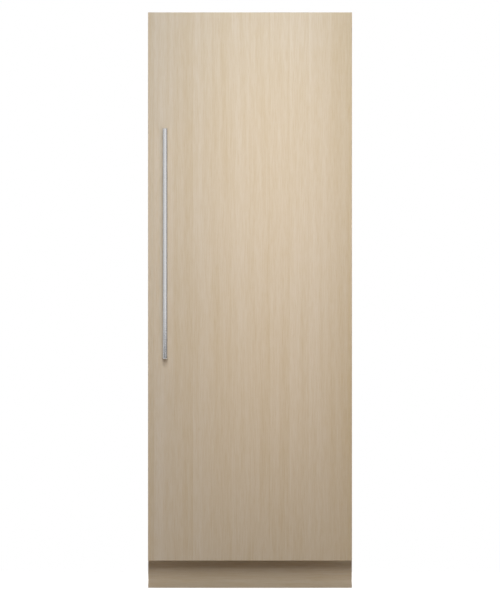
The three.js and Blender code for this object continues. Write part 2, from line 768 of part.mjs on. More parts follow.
function addCeilingUnit() {
  const bottom = linerTop - housingHeight;
  const frontSlope = outline([
    [housingFront + housingHeight / 2, bottom],
    [housingFront + housingDepth, bottom],
    [housingFront + housingDepth, linerTop],
    [housingFront, linerTop],
    [housingFront, bottom + housingHeight / 2],
  ]);
  let housing = prism('x', frontSlope, [-housingHalf, housingHalf]);
  const lensY = [housingFront + lensMargin, housingFront + housingDepth - lensMargin];
  housing = cut(housing, slab([-lensHalf, lensHalf], lensY, [bottom - overrun, bottom + lensBody]));
  for (let k = 0; k < touchPads; k += 1) {
    const x = touchPadPitch * (k - (touchPads - 1) / 2);
    housing = cut(housing, slab(
      [x - touchPadHalf, x + touchPadHalf],
      [housingFront - overrun, housingFront + touchPadDepth],
      [linerTop - housingHeight / 2 + touchPadDepth, linerTop - touchPadTopMargin]));
  }
  addPiece(cabinet, 'control_panel', housing, whitePlastic);
  const lens = slab(
    [-lensHalf + fitGap, lensHalf - fitGap],
    [lensY[0] + fitGap, lensY[1] - fitGap],
    [bottom - lensThickness / 2, bottom + lensBody]);
  addPiece(cabinet, 'ceiling_light', lens, clearPlastic);
}

// The drawers: trays whose side ribs run in the grooves of one moulded frame, under a glass cover

const drawerSideRoom = 55;
const frontSetback = 112;
const drawerWall = 3;
const drawerFace = 6;
const drawerSideGap = 2;
const drawerUpGap = 4;
const lowerDrawerHeight = 170;
const lowerDrawerLift = 12;
const upperDrawerHeight = 204;
const upperDrawerRearGap = 20;
const drawerRearGap = 12;
const ribReach = 5;
const ribSetback = 60;
const ribHeight = 6;
const grooveGap = 0.5;
const frameFace = 8;
const frameWall = 3;
const frameFrontGap = 2;
const frameRearGap = 50;
const railHeight = 12;
const railDepth = 18;
const railSetback = 8;
const notchHalf = 80;
const notchDepth = 14;
const drawerCoverThickness = 5;
const drawerCoverGap = 1;

const drawerHalf = linerHalf - drawerSideRoom;
const lowerDrawerDepth = humpFront - drawerRearGap - frontSetback;
const lowerDrawerBottom = linerFloor + lowerDrawerLift;
const lowerDrawerTop = lowerDrawerBottom + lowerDrawerHeight;
const midRailBottom = lowerDrawerTop + drawerUpGap;
const upperDrawerBottom = midRailBottom + railHeight + drawerUpGap;
const upperDrawerTop = upperDrawerBottom + upperDrawerHeight;
const topRailBottom = upperDrawerTop + drawerUpGap;
const drawerFrameTop = topRailBottom + railHeight;
const drawerCoverTop = drawerFrameTop + drawerCoverThickness;
const drawerFrameRear = linerBack - frameRearGap;
const upperDrawerDepth = drawerFrameRear - upperDrawerRearGap - frontSetback;
const lowerRibZ = lowerDrawerBottom + lowerDrawerHeight / 2;
const upperRibZ = upperDrawerBottom + upperDrawerHeight / 2;

// One drawer; the origin is the middle of its front's lower edge
function drawerSolid(height, depth) {
  const body = slab([-drawerHalf, drawerHalf], [0, depth], [0, height]);
  const hollow = slab(
    [-drawerHalf + drawerWall, drawerHalf - drawerWall],
    [drawerFace, depth - drawerWall],
    [drawerWall, height + overrun]);
  const notch = slab([-notchHalf, notchHalf], [-overrun, drawerFace + overrun],
    [height - notchDepth, height + overrun]);
  const ribZ = [(height - ribHeight) / 2, (height + ribHeight) / 2];
  const rib = (side) => slab(
    [side * (drawerHalf - drawerWall / 2), side * (drawerHalf + ribReach)],
    [ribSetback, depth],
    ribZ);
  return joined(cut(body, hollow, notch), rib(-1), rib(1));
}

function drawerFrameSide(side) {
  const faceX = drawerHalf + drawerSideGap;
  const profile = (inset) => outline([
    [frontSetback + frameFrontGap + inset, linerFloor + inset],
    [humpFront - inset, linerFloor + inset],
    [humpFront - inset, humpTop + inset],
    [drawerFrameRear - inset, humpTop + inset],
    [drawerFrameRear - inset, drawerFrameTop - inset],
    [frontSetback + frameFrontGap + inset, drawerFrameTop - inset],
  ]);
  const block = prism('x', profile(0), [side * faceX, side * linerHalf]);
  const hollow = prism('x', profile(frameWall), [side * (faceX + frameFace), side * (linerHalf + overrun)]);
  const grooveHalf = ribHeight / 2 + grooveGap;
  const groove = (z, rear) => slab(
    [side * (faceX - overrun), side * (drawerHalf + ribReach + grooveGap)],
    [frontSetback, rear],
    [z - grooveHalf, z + grooveHalf]);
  const lowerRear = frontSetback + lowerDrawerDepth + grooveGap;
  const upperRear = frontSetback + upperDrawerDepth + grooveGap;
  return cut(block, hollow, groove(lowerRibZ, lowerRear), groove(upperRibZ, upperRear));
}

function addDrawers() {
  const reach = drawerHalf + drawerSideGap + frameFace / 2;
  const railY = [frontSetback + railSetback, frontSetback + railSetback + railDepth];
  const middle = slab([-reach, reach], railY, [midRailBottom, midRailBottom + railHeight]);
  const top = slab([-reach, reach], railY, [topRailBottom, drawerFrameTop]);
  const frame = joined(drawerFrameSide(-1), drawerFrameSide(1), middle, top);
  addPiece(cabinet, 'drawer_frame', frame, whitePlastic);

  const lower = drawerSolid(lowerDrawerHeight, lowerDrawerDepth);
  addPiece(cabinet, 'drawer_lower', lower, clearPlastic, [0, frontSetback, lowerDrawerBottom]);
  const upper = drawerSolid(upperDrawerHeight, upperDrawerDepth);
  addPiece(cabinet, 'drawer_upper', upper, clearPlastic, [0, frontSetback, upperDrawerBottom]);

  const cover = slab(
    [-linerHalf + drawerCoverGap, linerHalf - drawerCoverGap],
    [frontSetback, drawerFrameRear],
    [drawerFrameTop, drawerCoverTop]);
  addPiece(cabinet, 'drawer_cover_glass', cover, clearGlass);
}

// The shelves: slotted tracks on the rear wall, cantilever frames hooked into them, glass on top

const trackSideGap = 14;
const trackLift = 39;
const trackWidth = 22;
const trackDepth = 10;
const trackSheet = 2;
const slotPitch = 40;
const slotWidth = 5;
const slotHeight = 14;
const shelfSideGap = 11;
const shelfRearGap = 8;
const rimWidth = 10;
const rimHeight = 14;
const ledgeWidth = 8;
const ledgeHeight = 4;
const frontBarDrop = 8;
const armSheet = 3;
const armRootDrop = 52;
const armTipDrop = 10;
const armTipFrom = 30;
const hookDepth = 3;
const neckHeight = 7;
const hookLip = 5;
const tabReach = 4;
const glassThickness = 4;
const shelfCount = 3;

const trackFrom = coverHalf + trackSideGap;
const trackBottom = drawerCoverTop + trackLift;
const trackTop = coverTop;
const shelfHalf = linerHalf - shelfSideGap;
const armX = trackFrom + trackWidth / 2;
const trackFace = linerBack - trackDepth;
const shelfRear = linerBack - coverDepth - shelfRearGap;
const firstSlot = trackBottom + slotPitch / 2;
const slotCount = Math.floor((trackTop - trackBottom) / slotPitch);
const slotsPerShelf = Math.floor(slotCount / (shelfCount + 1));

function addShelfTracks() {
  for (const [name, side] of sides) {
    const x = [side * trackFrom, side * (trackFrom + trackWidth)];
    const body = slab(x, [trackFace, linerBack], [trackBottom, trackTop]);
    const channel = slab(
      [side * (trackFrom + trackSheet), side * (trackFrom + trackWidth - trackSheet)],
      [trackFace + trackSheet, linerBack + overrun],
      [trackBottom - overrun, trackTop + overrun]);
    const slots = [];
    for (let k = 0; k < slotCount; k += 1) {
      const z = firstSlot + k * slotPitch;
      slots.push(slab(
        [side * armX - slotWidth / 2, side * armX + slotWidth / 2],
        [trackFace - overrun, trackFace + overrun],
        [z - slotHeight / 2, z + slotHeight / 2]));
    }
    addPiece(cabinet, `shelf_track_${name}`, cut(body, channel, ...slots), satinSteel);
  }
}

// One shelf frame; z = 0 is the middle of the upper slot that its hooks hang in
function shelfFrame() {
  const across = [-shelfHalf, shelfHalf];
  const rimZ = [neckHeight / 2 - rimHeight, neckHeight / 2];
  const rim = slab(across, [frontSetback, shelfRear], rimZ);
  const glassSeat = slab(
    [-shelfHalf + rimWidth, shelfHalf - rimWidth],
    [frontSetback + rimWidth, shelfRear - rimWidth],
    [rimZ[0] + ledgeHeight, rimZ[1] + overrun]);
  const through = slab(
    [-shelfHalf + rimWidth + ledgeWidth, shelfHalf - rimWidth - ledgeWidth],
    [frontSetback + rimWidth + ledgeWidth, shelfRear - rimWidth - ledgeWidth],
    [rimZ[0] - overrun, rimZ[1]]);
  const frontBar = slab(across, [frontSetback, frontSetback + rimWidth], [rimZ[0] - frontBarDrop, rimZ[1]]);
  const armShape = outline([
    [frontSetback + armTipFrom, rimZ[0] + linerSheet],
    [frontSetback + armTipFrom, rimZ[0] - armTipDrop],
    [shelfRear, -armRootDrop],
    [trackFace - fitGap, -armRootDrop],
    [trackFace - fitGap, neckHeight / 2],
    [shelfRear - rimWidth / 2, neckHeight / 2],
    [shelfRear - rimWidth / 2, rimZ[0] + linerSheet],
  ]);
  const behind = trackFace + trackSheet + fitGap;
  const pieces = [];
  for (const [, side] of sides) {
    const x = [side * armX - armSheet / 2, side * armX + armSheet / 2];
    pieces.push(prism('x', armShape, x));
    pieces.push(slab(x, [trackFace - overrun, behind + hookDepth], [-neckHeight / 2, neckHeight / 2]));
    pieces.push(slab(x, [behind, behind + hookDepth], [-neckHeight / 2 - hookLip, 0]));
    pieces.push(slab(x, [trackFace - overrun, trackFace + tabReach],
      [-slotPitch - neckHeight / 2, -slotPitch + neckHeight / 2]));
  }
  return joined(cut(rim, glassSeat, through), frontBar, ...pieces);
}

function addShelves() {
  const frame = shelfFrame();
  const seatZ = neckHeight / 2 - rimHeight + ledgeHeight;
  const glass = slab(
    [-shelfHalf + rimWidth + fitGap, shelfHalf - rimWidth - fitGap],
    [frontSetback + rimWidth + fitGap, shelfRear - rimWidth - fitGap],
    [seatZ, seatZ + glassThickness]);
  for (let k = 1; k <= shelfCount; k += 1) {
    const place = [0, 0, firstSlot + k * slotsPerShelf * slotPitch];
    addPiece(cabinet, `shelf_frame_${k}`, frame, satinSteel, place);
    addPiece(cabinet, `shelf_glass_${k}`, glass, clearGlass, place);
  }
}

// The door: wood panel, steel pan, foam, moulded inner liner with its ridges, and magnetic gasket

const ridgeSideGap = 23;
const ridgeWidth = 32;
const ridgeRise = 25;
const ridgeOverDrawers = 29;
const ridgeTopGap = 25;
const lugReach = 6;
const lugFromBack = 13;
const lugDepth = 12;
const lugHeight = 16;
const lugPitch = 150;
const firstLugRise = 110;
const gasketInset = 6;
const gasketWidth = 26;
const gasketLift = 0.4;
const gasketGrooveDepth = 4;
const gasketGrooveHeight = 2.5;

const ridgeHalf = linerHalf - ridgeSideGap;
const ridgeBottom = drawerCoverTop + ridgeOverDrawers;
const ridgeTop = linerTop - ridgeTopGap;
const firstLug = ridgeBottom + firstLugRise;
const lugCount = Math.floor((ridgeTop - ridgeWidth - firstLug) / lugPitch) + 1;
const gasketOuter = doorHalf - gasketInset;

function ridge(inset) {
  const x = [-ridgeHalf + inset, ridgeHalf - inset];
  const z = [ridgeBottom + inset, ridgeTop - inset];
  return rectangularRing(x, z, ridgeWidth - 2 * inset, [doorBack - linerSheet, ridgeRise - inset]);
}

function lug(side, z) {
  const inner = ridgeHalf - ridgeWidth;
  return slab(
    [side * (inner - lugReach), side * (inner + linerSheet / 2)],
    [doorBack + lugFromBack, doorBack + lugFromBack + lugDepth],
    [z, z + lugHeight]);
}

function addDoorShell() {
  const halfIn = doorHalf - steelSheet;
  const lowIn = caseBottom + steelSheet;
  const highIn = caseTop - steelSheet;
  addPiece(door, 'wood_panel', slab([-panelWidth / 2, panelWidth / 2], [panelFront, doorFront],
    [panelBottom, overallHeight]), paleOak);

  const outer = slab([-doorHalf, doorHalf], [doorFront, doorBack], [caseBottom, caseTop]);
  const inside = slab([-halfIn, halfIn], [doorFront + steelSheet, doorBack + overrun], [lowIn, highIn]);
  addPiece(door, 'door_pan', cut(outer, inside), greyPaint);

  const sheetFront = doorBack - linerSheet;
  const slabFoam = slab([-halfIn, halfIn], [doorFront + steelSheet, sheetFront], [lowIn, highIn]);
  addPiece(door, 'door_foam', slabFoam, yellowFoam);
  addPiece(door, 'door_foam_ridge', ridge(linerSheet), yellowFoam);

  const sheet = slab([-halfIn, halfIn], [sheetFront, doorBack], [lowIn, highIn]);
  const lugs = [];
  for (let k = 0; k < lugCount; k += 1) {
    lugs.push(lug(-1, firstLug + k * lugPitch), lug(1, firstLug + k * lugPitch));
  }
  const liner = joined(cut(joined(sheet, ridge(0)), ridge(linerSheet)), ...lugs);
  addPiece(door, 'door_liner', liner, whitePlastic);

  const gasketX = [-gasketOuter, gasketOuter];
  const gasketZ = [caseBottom + gasketInset, caseTop - gasketInset];
  const seal = rectangularRing(gasketX, gasketZ, gasketWidth, [doorBack, -gasketLift]);
  const middleY = (doorBack - gasketLift) / 2;
  const grooveY = [middleY - gasketGrooveHeight / 2, middleY + gasketGrooveHeight / 2];
  const wide = (grow) => [[-gasketOuter - grow, gasketOuter + grow], [gasketZ[0] - grow, gasketZ[1] + grow]];
  const [grooveX, grooveZ] = wide(overrun);
  const groove = rectangularRing(grooveX, grooveZ, overrun + gasketGrooveDepth, grooveY);
  addPiece(door, 'door_gasket', cut(seal, groove), sealRubber);
}

// The bins: open trays with a hook on each side that sits over a lug of the door's liner

const binSideGap = 10;
const binDepth = 100;
const binHeight = 104;
const binWall = 3;
const binBackGap = 2;
const binDrop = 62;
const hookWall = 6;
const hookTop = 8;
const binCount = 3;

const binHalf = ridgeHalf - ridgeWidth - binSideGap;
const lugsPerBin = Math.floor(lugCount / binCount);

// One bin; the origin is on the door's inner sheet, at the underside of its lugs
function binSolid() {
  const y = [binBackGap, binBackGap + binDepth];
  const body = slab([-binHalf, binHalf], y, [-binDrop, binHeight - binDrop]);
  const hollow = slab(
    [-binHalf + binWall, binHalf - binWall],
    [y[0] + binWall, y[1] - binWall],
    [-binDrop + binWall, binHeight]);
  const hookX = ridgeHalf - ridgeWidth - fitGap;
  const lugY = [lugFromBack - fitGap, lugFromBack + lugDepth + fitGap];
  const hook = (side) => {
    const block = slab(
      [side * (binHalf - binWall / 2), side * hookX],
      [lugY[0] - hookWall, lugY[1] + hookWall],
      [0, lugHeight + hookTop]);
    const notch = slab(
      [side * (hookX - lugReach - 2 * fitGap), side * (hookX + overrun)],
      lugY,
      [-overrun, lugHeight + fitGap]);
    return { block, notch };
  };
  const hooks = [hook(-1), hook(1)];
  const blocks = hooks.map(({ block, notch }) => cut(block, notch));
  return joined(cut(body, hollow), ...blocks);
}

function addBins() {
  const bin = binSolid();
  for (let k = 0; k < binCount; k += 1) {
    const place = [0, doorBack, firstLug + k * lugsPerBin * lugPitch];
    addPiece(door, `door_bin_${k + 1}`, bin, clearPlastic, place);
  }
}

// The handle: a round bar on two posts, each post hollowed at its end to seat on the bar

const handleRadius = 9;
const handleInset = 64;
const handleBottom = 850;
const handleLength = 854;
const handleClear = 30;
const handleChamfer = 1;
const postRadius = 7;
const postInset = 60;

const handleX = handleInset - panelWidth / 2;
const handleTop = handleBottom + handleLength;
const handleY = panelFront - handleClear - handleRadius;

function addHandle() {
  const narrow = handleRadius - handleChamfer;
  const bar = turned([
    [0, 0], [narrow, 0], [handleRadius, handleChamfer],
    [handleRadius, handleLength - handleChamfer], [narrow, handleLength], [0, handleLength],
  ], fineSides);
  addPiece(door, 'handle_bar', bar, satinSteel, [handleX, handleY, handleBottom]);

  const barCut = rod('z', handleRadius + fitGap, [-postInset, postInset], [0, handleY], fineSides);
  const post = cut(rod('y', postRadius, [handleY, panelFront], [0, 0]), barCut);
  const posts = [['top', handleTop - postInset], ['bottom', handleBottom + postInset]];
  for (const [name, z] of posts) {
    addPiece(door, `handle_post_${name}`, post, satinSteel, [handleX, 0, z]);
  }
}

// The hinges: a case plate, a bowed main link, a guide link and a door plate, in stacked layers.
// The main link turns back at a steady share of the door's turn, which swings the door out of the
// line of its case before its edge can meet a neighbour; the guide link's pin runs in a curved slot.

const hingeSheet = 5;
const layerGap = 1;
const casePivotInset = 12;
const mainLinkLength = 50;
const guidePivotInset = 83;
const guidePivotY = 27;
const guideTipInset = 36;
const guideTipY = -31;
const openingTurn = THREE.MathUtils.degToRad(115);
const mainLinkRate = 0.395;
const guideLinkRate = 0.3;
const mainPinRadius = 5;
const doorPinRadius = 4;
const guidePinRadius = 3;
const slotClear = 0.5;
const slotSteps = 8;
const bossRadius = 9.5;
const mainLinkHalf = 6.5;
const mainLinkBow = 23.5;
const mainLinkShares = [[0, 0], [0.68, 0.12], [1, 0.5], [0.77, 0.86], [0, 1]];
const mainLinkSteps = 9;
const guideLinkHalf = 7;
const capSteps = 6;
const plateSide = 12;
const plateFront = 15;
const plateRiserY = 40;
const plateRiser = 6;
const plateRear = 90;
const plateRightInset = 2;
const tongueHalf = 10;
const doorPlateWidth = 71;
const doorPlateFrontGap = 1;

const pivotA = new THREE.Vector2(caseHalf - casePivotInset, 0);
const pivotC = new THREE.Vector2(pivotA.x, -mainLinkLength);
const pivotB = new THREE.Vector2(caseHalf - guidePivotInset, guidePivotY);
const guideTip = new THREE.Vector2(caseHalf - guideTipInset, guideTipY);
const plateLeft = pivotB.x - plateSide;
const plateRight = caseHalf - plateRightInset;
const doorPlateLeft = plateRight - doorPlateWidth;

// The height of a hinge layer: layer 0 lies on the case and the door, and each next one is further out
function layerZ(end, layer) {
  const edge = end > 0 ? caseTop : caseBottom;
  const start = layer * (hingeSheet + layerGap);
  return [edge + end * start, edge + end * (start + hingeSheet)];
}

function acrossLayers(end, first, last) {
  return [layerZ(end, first)[0], layerZ(end, last)[1]];
}

// Where the guide link's pin lies on the door when the door has turned by a given angle
function guideTipOnDoor(turn) {
  const tip = guideTip.clone().rotateAround(pivotB, -guideLinkRate * turn);
  const carried = pivotC.clone().rotateAround(pivotA, -mainLinkRate * turn);
  return tip.sub(carried).rotateAround(new THREE.Vector2(), -turn).add(pivotC);
}

function casePlate(end) {
  const shape = outline([
    [plateLeft, plateRiserY + plateRiser],
    [plateLeft, plateFront],
    [pivotA.x - tongueHalf, plateFront],
    [pivotA.x - tongueHalf, 0],
  ]);
  shape.absarc(pivotA.x, pivotA.y, tongueHalf, -Math.PI, 0, false);
  shape.lineTo(plateRight, 0);
  shape.lineTo(plateRight, plateRiserY + plateRiser);
  const across = [plateLeft, plateRight];
  return joined(
    prism('z', shape, layerZ(end, 3)),
    slab(across, [plateRiserY, plateRiserY + plateRiser], acrossLayers(end, 0, 3)),
    slab(across, [plateRiserY, plateRear], layerZ(end, 0)),
    rod('z', mainPinRadius, acrossLayers(end, 2, 3), pivotA.toArray(), fineSides),
    rod('z', mainPinRadius, acrossLayers(end, 1, 3), pivotB.toArray(), fineSides));
}

function mainLink(end) {
  const along = mainLinkShares.map(([bow, length]) => new THREE.Vector2(
    pivotA.x - bow * mainLinkBow, -length * mainLinkLength));
  const path = new THREE.SplineCurve(along).getPoints(mainLinkSteps);
  const layer = layerZ(end, 2);
  const band = prism('z', bandShape(path, mainLinkHalf, capSteps), layer);
  const caseBoss = rod('z', bossRadius, layer, pivotA.toArray(), fineSides);
  const doorBoss = rod('z', bossRadius, layer, pivotC.toArray(), fineSides);
  const pin = rod('z', doorPinRadius, acrossLayers(end, 0, 2), pivotC.toArray(), fineSides);
  const hole = rod('z', mainPinRadius + fitGap, acrossLayers(end, 1, 3), pivotA.toArray(), fineSides);
  return joined(cut(joined(band, caseBoss, doorBoss), hole), pin);
}

function guideLink(end) {
  const layer = layerZ(end, 1);
  const band = prism('z', bandShape([pivotB, guideTip], guideLinkHalf, capSteps), layer);
  const boss = rod('z', bossRadius, layer, pivotB.toArray(), fineSides);
  const hole = rod('z', mainPinRadius + fitGap, acrossLayers(end, 0, 2), pivotB.toArray(), fineSides);
  const pin = rod('z', guidePinRadius, acrossLayers(end, 0, 1), guideTip.toArray(), fineSides);
  return joined(cut(joined(band, boss), hole), pin);
}

function doorPlate(end) {
  const plate = slab([doorPlateLeft, plateRight], [doorFront + doorPlateFrontGap, doorBack], layerZ(end, 0));
  const path = Array.from({ length: slotSteps + 1 }, (_, k) => guideTipOnDoor(openingTurn * k / slotSteps));
  const around = [layerZ(end, 0)[0] - end * overrun, layerZ(end, 0)[1] + end * overrun];
  const slot = prism('z', bandShape(path, guidePinRadius + slotClear, capSteps), around);
  const hole = rod('z', doorPinRadius + fitGap, around, pivotC.toArray(), fineSides);
  return cut(plate, slot, hole);
}

function addHinges() {
  for (const [name, end] of ends) {
    addPiece(cabinet, `hinge_${name}_case_plate`, casePlate(end), zincSteel);
    addPiece(cabinet, `hinge_${name}_main_link`, mainLink(end), zincSteel);
    addPiece(cabinet, `hinge_${name}_guide_link`, guideLink(end), zincSteel);
    addPiece(door, `hinge_${name}_door_plate`, doorPlate(end), zincSteel);
  }
}

addCaseSkins();
addFrontFrame();
addLiner();
addBaseDeck();
addFoam();
addBaseFrame();
addFeet();
addRollers();
addToeKick();
addMachinery();
addGasPipe();
addMachineCover();
addPowerInlet();
addColdSide();
addCeilingUnit();
addShelfTracks();
addShelves();
addDrawers();
addDoorShell();
addBins();
addHandle();
addHinges();

// The origin goes under the middle of the whole: from the handle's front to the inlet's flange
const wholeFront = handleY - handleRadius;
const wholeBack = coverOutside + inletFlangeThickness;
fridge.position.y = -(wholeFront + wholeBack) / 2;

export default fridge;
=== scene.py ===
import json
import math

import bmesh
import bpy
import numpy as np
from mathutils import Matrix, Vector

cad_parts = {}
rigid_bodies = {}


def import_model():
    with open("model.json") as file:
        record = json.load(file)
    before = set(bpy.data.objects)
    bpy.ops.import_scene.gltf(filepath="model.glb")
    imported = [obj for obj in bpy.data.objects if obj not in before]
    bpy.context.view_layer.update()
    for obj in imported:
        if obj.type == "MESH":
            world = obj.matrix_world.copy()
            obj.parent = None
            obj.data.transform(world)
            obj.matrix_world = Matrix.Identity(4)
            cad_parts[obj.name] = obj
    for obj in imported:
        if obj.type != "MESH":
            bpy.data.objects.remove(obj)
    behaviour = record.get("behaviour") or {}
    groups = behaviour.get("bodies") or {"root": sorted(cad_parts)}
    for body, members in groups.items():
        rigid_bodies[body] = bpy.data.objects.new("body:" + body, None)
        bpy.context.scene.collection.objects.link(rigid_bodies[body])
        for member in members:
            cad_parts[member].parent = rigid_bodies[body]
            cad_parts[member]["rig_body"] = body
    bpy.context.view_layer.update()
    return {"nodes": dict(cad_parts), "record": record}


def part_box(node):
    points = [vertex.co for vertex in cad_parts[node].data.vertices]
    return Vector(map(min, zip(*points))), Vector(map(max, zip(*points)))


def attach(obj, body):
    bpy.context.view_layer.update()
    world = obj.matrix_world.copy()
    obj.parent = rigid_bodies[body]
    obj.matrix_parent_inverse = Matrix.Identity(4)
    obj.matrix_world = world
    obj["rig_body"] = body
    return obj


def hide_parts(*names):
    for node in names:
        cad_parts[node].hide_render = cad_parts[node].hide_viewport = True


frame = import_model()
SLOTS = {row["node"]: row["material_slot"] for row in frame["record"]["subparts"]}
MM = 0.001


def limits(node):
    """A node's limits in metres, as three (lowest, highest) pairs for x, y and z."""
    return list(zip(*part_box(node)))


def mm(*lengths):
    """Lengths given in millimetres, in metres."""
    return [length * MM for length in lengths]


# %% [markdown]
# A new piece is a mesh with a finish. Three calls tie it to the model: it rides on a body, takes a slot and
# stands for a node, if it isn't an addition. The node tells its body and its slot, so a stand-in needs only
# its shape. Grids meet themselves at seams, so doubled points are made one before the faces are turned
# outwards. Edges sharper than a set angle stay crisp, and the rest is shaded smoothly.
# %% From points to a piece
SHARP = math.radians(38)
SAME_PLACE = 1e-6


def merge(source, mesh, outwards):
    """Copies a mesh into another with doubled points made one, and its faces turned outwards if asked."""
    whole = bmesh.new()
    whole.from_mesh(source)
    bmesh.ops.remove_doubles(whole, verts=whole.verts, dist=SAME_PLACE)
    if outwards:
        bmesh.ops.recalc_face_normals(whole, faces=whole.faces)
    whole.to_mesh(mesh)
    whole.free()


def dress(name, mesh, slot, body, node=None):
    """Links a mesh into the scene with its slot's finish, its body and the node that it stands for."""
    mesh.materials.clear()
    mesh.materials.append(FINISH[slot])
    mesh.shade_smooth()
    mesh.set_sharp_from_angle(angle=SHARP)
    piece = bpy.data.objects.new(name, mesh)
    bpy.context.scene.collection.objects.link(piece)
    piece.modifiers.new("even_shading", "WEIGHTED_NORMAL").keep_sharp = True
    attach(piece, body)
    if node:
        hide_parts(node)
    print(name, len(mesh.polygons), "faces")
    return piece


def add(name, shape, slot, body="cabinet", node=None):
    """Makes one piece of the object from a shape, which is its points and its faces."""
    points, faces = shape
    mesh = bpy.data.meshes.new(name)
    mesh.from_pydata(np.asarray(points).reshape(-1, 3), [], faces)
    merge(mesh, mesh, outwards=True)
    dress(name, mesh, slot, body, node)


def stand_in(node, way, shape, name=None):
    """Makes the piece that is seen in a node's place. Its name says the way in which it is made."""
    add(name or f"{node}_{way}", shape, SLOTS[node], frame["nodes"][node]["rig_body"], node)


# %% [markdown]
# Most parts of a refrigerator are pressed, moulded or folded, so their corners are round. All of them can be
# drawn as a loft: a stack of rounded rectangles, each with its own limits, corner radius and height. One
# function works the whole grid out at once, and the same function makes trays, frames, seals and panes.
# %% Lofts
def on_axis(axis, u, v, depth):
    """Points from two in-plane coordinates and a depth: u, v are y, z along x; x, z along y; x, y along z."""
    order = {"x": (depth, u, v), "y": (u, depth, v), "z": (u, v, depth)}[axis]
    return np.stack(np.broadcast_arrays(*order), axis=-1)


def grid_faces(rows, columns, closed_rows=False):
    """Quads between neighbouring points of a grid whose columns run round and meet again."""
    i = np.arange(rows if closed_rows else rows - 1)[:, None]
    j = np.arange(columns)[None, :]
    after, beside = (i + 1) % rows, (j + 1) % columns
    corners = (i * columns + j, i * columns + beside, after * columns + beside, after * columns + j)
    return np.stack(corners, axis=-1).reshape(-1, 4).tolist()


def end_faces(rows, columns):
    """The first and the last row of such a grid, as one face each."""
    return [list(range(columns)), list(range((rows - 1) * columns, rows * columns))]


def loft(rows, axis="y", ring=False, steps=6, side_steps=0):
    """Rounded rectangles joined in turn. A row is u low, u high, v low, v high, corner radius, depth.
    A point is its corner's centre plus the radius times (cos, sin) of its angle. Points along a straight
    side keep the angle of the corner they leave, while the centre moves on to the next corner."""
    u0, u1, v0, v1, radius, depth = (np.asarray(rows, float).T)[:, :, None]
    right, up = np.array([1, 0, 0, 1, 1]), np.array([1, 1, 0, 0, 1])
    quarter = np.arange(4)[:, None]
    share = np.concatenate([np.zeros(steps), np.arange(1, side_steps + 1) / (side_steps + 1)])[None, :]
    turn = np.concatenate([np.linspace(0, 1, steps), np.ones(side_steps)])[None, :]
    angle = ((turn + quarter) * math.pi / 2).reshape(1, -1)
    right_share = (right[quarter] + share * (right[quarter + 1] - right[quarter])).reshape(1, -1)
    up_share = (up[quarter] + share * (up[quarter + 1] - up[quarter])).reshape(1, -1)
    u = u0 + radius + right_share * (u1 - u0 - 2 * radius) + radius * np.cos(angle)
    v = v0 + radius + up_share * (v1 - v0 - 2 * radius) + radius * np.sin(angle)
    points = on_axis(axis, u, v, depth)
    grid = points.shape[:2]
    return points, grid_faces(*grid, ring) + ([] if ring else end_faces(*grid))


# %% [markdown]
# A loft's rows come from an outline: how far in and how deep each rectangle lies. It is drawn with straight
# runs, as a maker sketches a section, and its corners are then rounded.
# %% Outlines and plates
def rounded(outline, radius, steps=5):
    """An open outline of (across, along) points whose inner corners become arcs. Each arc is a quadratic
    curve that leaves and meets the two sides at the radius from the corner, or at half the shorter side.
    The radius is one number, or one for each inner corner."""
    path = np.asarray(outline, float)
    before, corner, after = path[:-2], path[1:-1], path[2:]
    reach = []
    for other in (before, after):
        side = np.linalg.norm(other - corner, axis=1)
        share = np.minimum(np.asarray(radius) / side, 0.5)[:, None]
        reach.append(corner + (other - corner) * share)
    t = np.linspace(0, 1, steps)[None, :, None]
    start, bend, end = reach[0][:, None], corner[:, None], reach[1][:, None]
    arcs = (1 - t) ** 2 * start + 2 * t * (1 - t) * bend + t**2 * end
    return np.vstack([path[:1], arcs.reshape(-1, 2), path[-1:]])


def inset_rows(span_u, span_v, radius, profile):
    """A loft's rows from a profile of (inset, depth) points: each rectangle lies that far inside its span."""
    inset, depth = np.asarray(profile, float).T
    corner = np.maximum(radius - inset, 0.2 * MM)
    return np.stack([span_u[0] + inset, span_u[1] - inset, span_v[0] + inset, span_v[1] - inset,
                     corner, depth], axis=1)


def moulded(span_u, span_v, radius, profile, axis="y", **settings):
    """A loft over two spans, its rows worked out from a profile."""
    return loft(inset_rows(span_u, span_v, radius, profile), axis, **settings)


def eased_slab(node, axis, radius, edge, way, name=None):
    """A plate whose corners have one radius and whose edges have another, in the space of its node."""
    spans = dict(zip("xyz", limits(node)))
    near, far = spans.pop(axis)
    profile = rounded([(edge * 2, near), (0, near), (0, far), (edge * 2, far)], edge)
    stand_in(node, way, moulded(*spans.values(), radius, profile, axis), name)


# %% [markdown]
# Colours are written as they look on screen, from 0 to 255, as a maker reads them off a swatch. A shader
# counts light instead, so each value is first turned back along the screen's own curve.
# %% Colours
def linear(red, green, blue):
    """A colour given as it looks on screen, 0 to 255, in the linear values that shaders use."""
    screen = np.array([red, green, blue]) / 255
    values = np.where(screen <= 0.04045, screen / 12.92, ((screen + 0.055) / 1.055) ** 2.4)
    return (*values.tolist(), 1.0)


